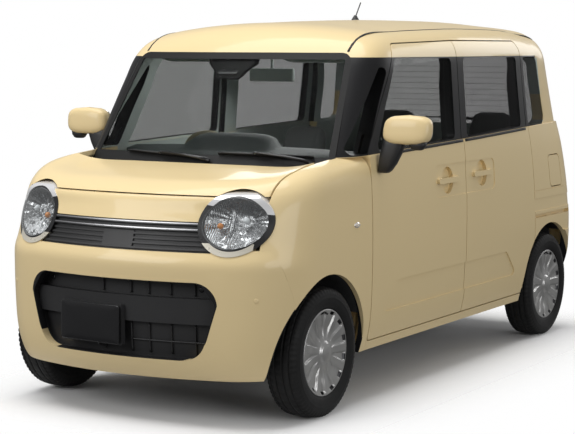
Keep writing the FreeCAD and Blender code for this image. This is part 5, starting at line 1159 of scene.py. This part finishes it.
def bench_back_seams(at):
    return bench_lines(at) if at.y < 0 else 1.0


def rest_seams(at):
    return abs(abs(at.x) - REST_SEAM_X)


def leaned(offset, hinge, up, aside=0.0):
    """Pose of a part of a seat's back, at a height on the upright back above its hinge."""
    turn = Matrix.Rotation(-SEAT_LEAN, 4, "X")
    return Matrix.Translation((offset, *hinge)) @ turn @ Matrix.Translation((aside, BACK_DEPTH, up))


front_half = (0.238, 0.238, 0.072)
cushion = seat_pad(
    "front_cushion_left", front_half, 0.045, cushion_form(front_half, 0.16), front_seams,
    Matrix.Translation((FRONT_SEAT_X, -0.1095, 0.4560)), ["front_seat_cushions"])
copied(cushion, "front_cushion_right", -2 * FRONT_SEAT_X, ["front_seat_cushions"])
back_half = (0.236, 0.052, 0.288)
back = seat_pad(
    "front_back_left", back_half, 0.040, back_form(back_half, 0.10), back_seams,
    leaned(FRONT_SEAT_X, FRONT_HINGE, 0.300), ["front_seat_backs"])
copied(back, "front_back_right", -2 * FRONT_SEAT_X, ["front_seat_backs"])
rest_half = (0.122, 0.040, 0.082)
for row, hinge, tall in (("front", FRONT_HINGE, 0.706), ("rear", REAR_HINGE, 0.626)):
    rest = seat_pad(
        row + "_rest_left", rest_half, 0.034, rest_form(rest_half), rest_seams,
        leaned(FRONT_SEAT_X, hinge, tall), ["head_rests"])
    copied(rest, row + "_rest_right", -2 * FRONT_SEAT_X, ["head_rests"])
bench_half = (0.488, 0.223, 0.058)
seat_pad("rear_bench", bench_half, 0.045, cushion_form(bench_half, 0.244), bench_seams,
         Matrix.Translation((0, 0.9755, 0.5695)), ["rear_seat_cushion"])
bench_back_half = (0.488, 0.052, 0.248)
seat_pad("rear_bench_back", bench_back_half, 0.040, back_form(bench_back_half, 0.02),
         bench_back_seams, leaned(0, REAR_HINGE, 0.260), ["rear_seat_back"])
for row, hinge, low in (("front", FRONT_HINGE, 0.590), ("rear", REAR_HINGE, 0.510)):
    for side, offset in (("left", FRONT_SEAT_X), ("right", -FRONT_SEAT_X)):
        for post in (-POST_X, POST_X):
            turn = leaned(offset, hinge, low, post)
            end = "outer" if post * offset > 0 else "inner"
            tidy(piece("{}_post_{}_{}".format(row, side, end), *tube(
                [turn @ Vector((0, 0, rise)) for rise in (0, 0.025, 0.060)], POST_RADIUS), chrome))


# Black strips: the rubber in each ditch beside the roof, and the mouldings along the foot of
# the side windows, which wipe the panes.
DITCH_X = 0.5395
OVER_ROOF = 2.0
BESIDE = 1.2
STRIP_STEPS = 24
STRIP_SINK = 0.0015
# Across a strip: from side to side, and how high it stands there, as shares of its sizes.
STRIP_SECTION = ((-0.5, 0), (-0.5, 0.55), (-0.32, 0.93), (0, 1.0), (0.32, 0.93), (0.5, 0.55),
                 (0.5, 0))


def strip(name, skin, starts, way, width, height, finish, body="body"):
    """A low crowned moulding that lies where a row of rays meets a skin."""
    rows = [found for found in (met(skin, start, way) for start in starts) if found]
    loops = []
    for i, (place, normal) in enumerate(rows):
        ahead = rows[min(i + 1, len(rows) - 1)][0] - rows[max(i - 1, 0)][0]
        across = ahead.cross(normal).normalized()
        above = across.cross(ahead).normalized()
        loops.append([place + across * width * side + above * (height * out if out else -STRIP_SINK)
                      for side, out in STRIP_SECTION])
    return tidy(piece(name, *sweep(loops), finish, body))


roof_skin = skin_of("roof", "side_frame_left", "side_frame_right")
for side, sign in (("left", 1), ("right", -1)):
    strip("ditch_strip_" + side, roof_skin,
          [(DITCH_X * sign, y / 100, OVER_ROOF) for y in range(-69, 150, 4)],
          (0, 0, -1), 0.011, 0.0022, rubber)
    for panel, body, ahead, behind in (("front_door_", "front_door_" + side, -0.625, 0.195),
                                       ("sliding_door_", "body", 0.225, 1.040)):
        ys = [ahead + (behind - ahead) * i / STRIP_STEPS for i in range(STRIP_STEPS + 1)]
        strip("belt_strip_" + panel + side, skin_of(panel + side),
              [(BESIDE * sign, y, BELT_LINE - 0.006 + BELT_RISE * y) for y in ys], (-sign, 0, 0),
              0.014, 0.0035, rubber, body)


# Wipers: two pressed arms on spindles in the cowl, each with a joint at the middle of a blade
# that rests on the foot of the windscreen.
BLADE_STEPS = 24
WIPERS = (
    # name, the blade's two ends (x, z), and where the joint and the spindle stand (x)
    ("right", (-0.400, 1.083), (0.060, 1.064), -0.190, 0.075),
    ("left", (0.105, 1.087), (0.545, 1.082), 0.290, 0.560))
SPINE_LIFT = 0.017
SPINE_END = 0.0028
SPINE_SWELL = 0.0022
ARM_RADII = (0.012, 0.0085, 0.0065, 0.0055, 0.004)
# Up a joint: height over the screen, and radius.
JOINT_SECTION = ((0.016, 0.001), (0.018, 0.006), (0.024, 0.007), (0.027, 0.004), (0.028, 0.001))

screen_skin = skin_of("windscreen")


def on_screen(x, z, lift):
    """Point at a height over the windscreen."""
    place, normal = met(screen_skin, (x, AHEAD, z), BACKWARDS)
    return place + normal * lift


for name, left_end, right_end, joint, spindle in WIPERS:
    blade = []
    for i in range(BLADE_STEPS + 1):
        share = i / BLADE_STEPS
        x = left_end[0] + (right_end[0] - left_end[0]) * share
        z = left_end[1] + (right_end[1] - left_end[1]) * share
        blade.append((x, AHEAD, z))
    strip("wiper_blade_" + name, screen_skin, blade, BACKWARDS, 0.0065, 0.016, rubber)
    spine = [on_screen(x, z, SPINE_LIFT) for x, _, z in blade[1:-1]]
    thick = [SPINE_END + SPINE_SWELL * math.sin(math.pi * i / (len(spine) - 1))
             for i in range(len(spine))]
    tidy(piece("wiper_spine_" + name, *tube(spine, thick, 8), black_moulding))
    share = (joint - left_end[0]) / (right_end[0] - left_end[0])
    joint_z = left_end[1] + (right_end[1] - left_end[1]) * share
    foot = on_screen(spindle, 1.052, 0.012)
    over = on_screen(spindle - 0.05, 1.058, 0.028)
    line = [foot, over, on_screen((joint + spindle) / 2, (joint_z + 1.056) / 2, 0.032),
            on_screen(joint + 0.02, joint_z - 0.002, 0.030),
            on_screen(joint - 0.01, joint_z, 0.022)]
    tidy(piece("wiper_arm_" + name, *tube(line, ARM_RADII, 10), gloss_black))
    place, normal = met(screen_skin, (joint, AHEAD, joint_z), BACKWARDS)
    tidy(piece("wiper_joint_" + name, *lathe(JOINT_SECTION, place, normal, 14), chrome))


# Sensor housing: a black moulding behind the head of the windscreen, with a grey camera
# window in it, and two visors in pale vinyl on either side.
HOUSING_HEIGHT = 0.098
HOUSING_STEPS = 24
# Down the housing: share of its height, half its width, and its depth.
HOUSING_SECTION = (
    (0.0, 0.135, 0.010), (0.30, 0.128, 0.028), (0.62, 0.085, 0.034), (0.88, 0.070, 0.026),
    (1.0, 0.060, 0.010))
WINDOW_AT = (-0.005, AHEAD, 1.452)

housing = []
for share, wide, out in HOUSING_SECTION:
    z = WINDOW_HEAD - HOUSING_HEIGHT * share
    loop = []
    for turn in turns(HOUSING_STEPS):
        x = wide * max(-1.0, min(1.0, 1.15 * math.cos(turn)))
        back = out * 0.5 * (1 + math.sin(turn))
        place, _ = met(screen_skin, (x, AHEAD, z), BACKWARDS)
        loop.append(place + Vector((0, 0.0075 + back, -0.004)))
    housing.append(loop)
tidy(piece("sensor_housing", *sweep(housing), black_moulding))
smoked = grained("smoked_sensor_window", (0.10, 0.105, 0.105), 0.2, 80.0, 0.02)
place, _ = met(screen_skin, WINDOW_AT, BACKWARDS)
tidy(piece("sensor_window", *plate_loops(
    place + Vector((0, 0.0070, -0.004)), 0.052, 0.018, 0.003, 0.010, (0, -0.66, 0.75)), smoked))
for side, sign in (("left", 1), ("right", -1)):
    tidy(piece("sun_visor_" + side, *plate_loops(
        (0.335 * sign, -0.585, 1.497), 0.165, 0.062, 0.016, 0.024, (0, -0.20, -1.0), (0, 1, 0),
        0.002), pale_trim))


# Small round fittings: clear side indicators on the fenders, distance sensors in the bumper's
# corners, and a red reflector at each end of the rear bumper.
INDICATOR_Y = -0.922
INDICATOR_Z = 0.798
SENSOR_X = 0.614
SENSOR_Z = 0.539
REFLECTOR_X = 0.560
REFLECTOR_Z = 0.380
BEHIND = 2.4
FORWARDS = (0, -1, 0)
BUTTON_STEPS = 28
BUTTON_SINK = 0.002
# Up a cap: how high, and how wide, as shares of its sizes.
BUTTON_SECTION = ((0.4, 1.0), (0.8, 0.88), (1.0, 0.55), (1.02, 0.05))

clear_cap = Finish("clear_indicator", (0.80, 0.78, 0.72), 0.08, coat_weight=1.0)
clear_cap.feed("Base Color", clear_cap.mix(
    clear_cap.noise(160.0) > 0.52, (0.84, 0.83, 0.80), (0.62, 0.50, 0.34)))
red_reflex = Finish("red_reflector", (0.45, 0.012, 0.014), 0.15, coat_weight=1.0)
x, _, z = red_reflex.place()
prism = (x * 1500.0).wave() * (z * 1500.0).wave()
red_reflex.feed("Base Color", red_reflex.mix(
    prism * 0.5 + 0.5, (0.22, 0.005, 0.006), (0.60, 0.03, 0.03)))
red_reflex.bump(prism, 0.4, 0.001)
fender_skin = skin_of("front_fenders")
bumper_skin = skin_of("front_bumper")
rear_bumper_skin = skin_of("rear_bumper")


def button(name, found, wide, tall, proud, finish, body="body"):
    """A low oval cap that stands on the skin."""
    place, normal = found
    across = Vector((0, 0, 1)).cross(normal).normalized()
    above = normal.cross(across)
    loops = []
    for out, share in ((-BUTTON_SINK, 1.0), *((proud * up, share) for up, share in BUTTON_SECTION)):
        loops.append([place + normal * out
                      + (across * math.cos(turn) * wide + above * math.sin(turn) * tall) * share
                      for turn in turns(BUTTON_STEPS)])
    return tidy(piece(name, *sweep(loops), finish, body))


for side, sign in (("left", 1), ("right", -1)):
    spot = met(fender_skin, (BESIDE * sign, INDICATOR_Y, INDICATOR_Z), (-sign, 0, 0))
    button("side_indicator_rim_" + side, spot, 0.0265, 0.0125, 0.0025, chrome)
    button("side_indicator_" + side, spot, 0.0235, 0.0100, 0.0060, clear_cap)
    spot = met(bumper_skin, (SENSOR_X * sign, AHEAD, SENSOR_Z), BACKWARDS)
    button("distance_sensor_" + side, spot, 0.0105, 0.0105, 0.0015, paint)
    spot = met(rear_bumper_skin, (REFLECTOR_X * sign, BEHIND, REFLECTOR_Z), FORWARDS)
    button("rear_reflector_" + side, spot, 0.055, 0.016, 0.005, red_reflex)


# Tail: a wiper on a spindle in the foot of the glass, a high stop lamp under the roof's edge,
# fine heater wires printed on the glass, and a blank plate of painted sheet on two bolts.
HEATER_WIRES = 9
HEATER_FOOT = 1.190
HEATER_PITCH = 0.032
HEATER_HALF_WIDTH = 0.430
PLATE_HALF_WIDTH = 0.165
PLATE_HALF_HEIGHT = 0.0825
BOLT_X = 0.110
BOLT_UP = 0.060
STOP_LAMP_Z = 1.542
REAR_PLATE_Z = 0.745
TAIL_ARM_RADII = (0.011, 0.009, 0.006, 0.0045)

tail_skin = skin_of("tailgate", "tailgate_glass")


def on_tail(x, z, lift):
    """Point at a height over the tailgate or its glass."""
    place, normal = met(tail_skin, (x, BEHIND, z), FORWARDS)
    return place + normal * lift


strip("rear_wiper_blade", tail_skin,
      [(-0.300 + 0.020 * i, BEHIND, 1.150 + 0.0002 * i) for i in range(20)],
      FORWARDS, 0.0065, 0.013, rubber, "tailgate")
arm = [on_tail(0.170, 1.140, 0.014), on_tail(0.110, 1.142, 0.028), on_tail(0.000, 1.148, 0.026),
       on_tail(-0.110, 1.153, 0.016)]
tidy(piece("rear_wiper_arm", *tube(arm, TAIL_ARM_RADII, 10), gloss_black, "tailgate"))
spindle = met(tail_skin, (0.172, BEHIND, 1.138), FORWARDS)
button("rear_wiper_spindle", spindle, 0.017, 0.017, 0.017, gloss_black, "tailgate")
strip("high_stop_lamp", tail_skin, [(-0.115 + 0.01 * i, BEHIND, STOP_LAMP_Z) for i in range(24)],
      FORWARDS, 0.020, 0.006, red_reflex, "tailgate")
heater = grained("heater_wire", (0.16, 0.08, 0.045), 0.6, 300.0, 0.1)
for i in range(HEATER_WIRES):
    level = HEATER_FOOT + HEATER_PITCH * i
    strip("heater_wire_{}".format(i), tail_skin,
          [(HEATER_HALF_WIDTH * (k / 10 - 1), BEHIND, level) for k in range(21)],
          FORWARDS, 0.0012, 0.0004, heater, "tailgate")
plate_finish = grained("blank_number_plate", (0.72, 0.72, 0.70), 0.4, 60.0, 0.05)
plate_at = on_tail(0.0, REAR_PLATE_Z, 0.006)
tidy(piece("rear_number_plate", *plate_loops(
    plate_at, PLATE_HALF_WIDTH, PLATE_HALF_HEIGHT, 0.004, 0.012, (0, 1, 0.04), crown=0.0015),
    plate_finish, "tailgate"))
for name, aside in (("left", BOLT_X), ("right", -BOLT_X)):
    button("plate_bolt_" + name, (plate_at + Vector((aside, 0.0015, BOLT_UP)), Vector((0, 1, 0))),
           0.0075, 0.0075, 0.004, chrome, "tailgate")


# Mouth of the bumper: upright ribs and a shelf behind the beam, two push-in clips above it, and
# a blank black plate on the beam, all of moulded plastic.
RIB_STEPS = 9
RIB_ROWS = (("low", 0.300, 0.424), ("high", 0.545, 0.596))
RIBS_X = (-0.080, 0.060, 0.145, 0.245, 0.350)
SHELF_Z = 0.352
CLIPS_X = (-0.385, 0.375)
CLIP_Z = 0.572
FRONT_PLATE_X = -0.122
FRONT_PLATE_Z = 0.412
FRONT_PLATE_LIFT = 0.012
FRONT_PLATE_HALF_WIDTH = 0.160
FRONT_PLATE_HALF_HEIGHT = 0.081

mouth_skin = skin_of("lower_grille")
for i, x in enumerate(RIBS_X):
    for row, low, high in RIB_ROWS:
        strip("mouth_rib_{}_{}".format(row, i), mouth_skin,
              [(x, AHEAD, low + (high - low) * k / RIB_STEPS) for k in range(RIB_STEPS + 1)],
              BACKWARDS, 0.006, 0.010, black_moulding)
strip("mouth_shelf", mouth_skin, [(0.055 + 0.017 * k, AHEAD, SHELF_Z) for k in range(22)],
      BACKWARDS, 0.007, 0.010, black_moulding)
for i, x in enumerate(CLIPS_X):
    spot = met(mouth_skin, (x, AHEAD, CLIP_Z), BACKWARDS)
    button("mouth_clip_{}".format(i), spot, 0.011, 0.011, 0.004, gloss_black)
place, normal = met(mouth_skin, (FRONT_PLATE_X, AHEAD, FRONT_PLATE_Z), BACKWARDS)
tidy(piece("front_number_plate", *plate_loops(
    place + normal * FRONT_PLATE_LIFT, FRONT_PLATE_HALF_WIDTH, FRONT_PLATE_HALF_HEIGHT,
    0.003, 0.010, normal, crown=0.001), gloss_black))
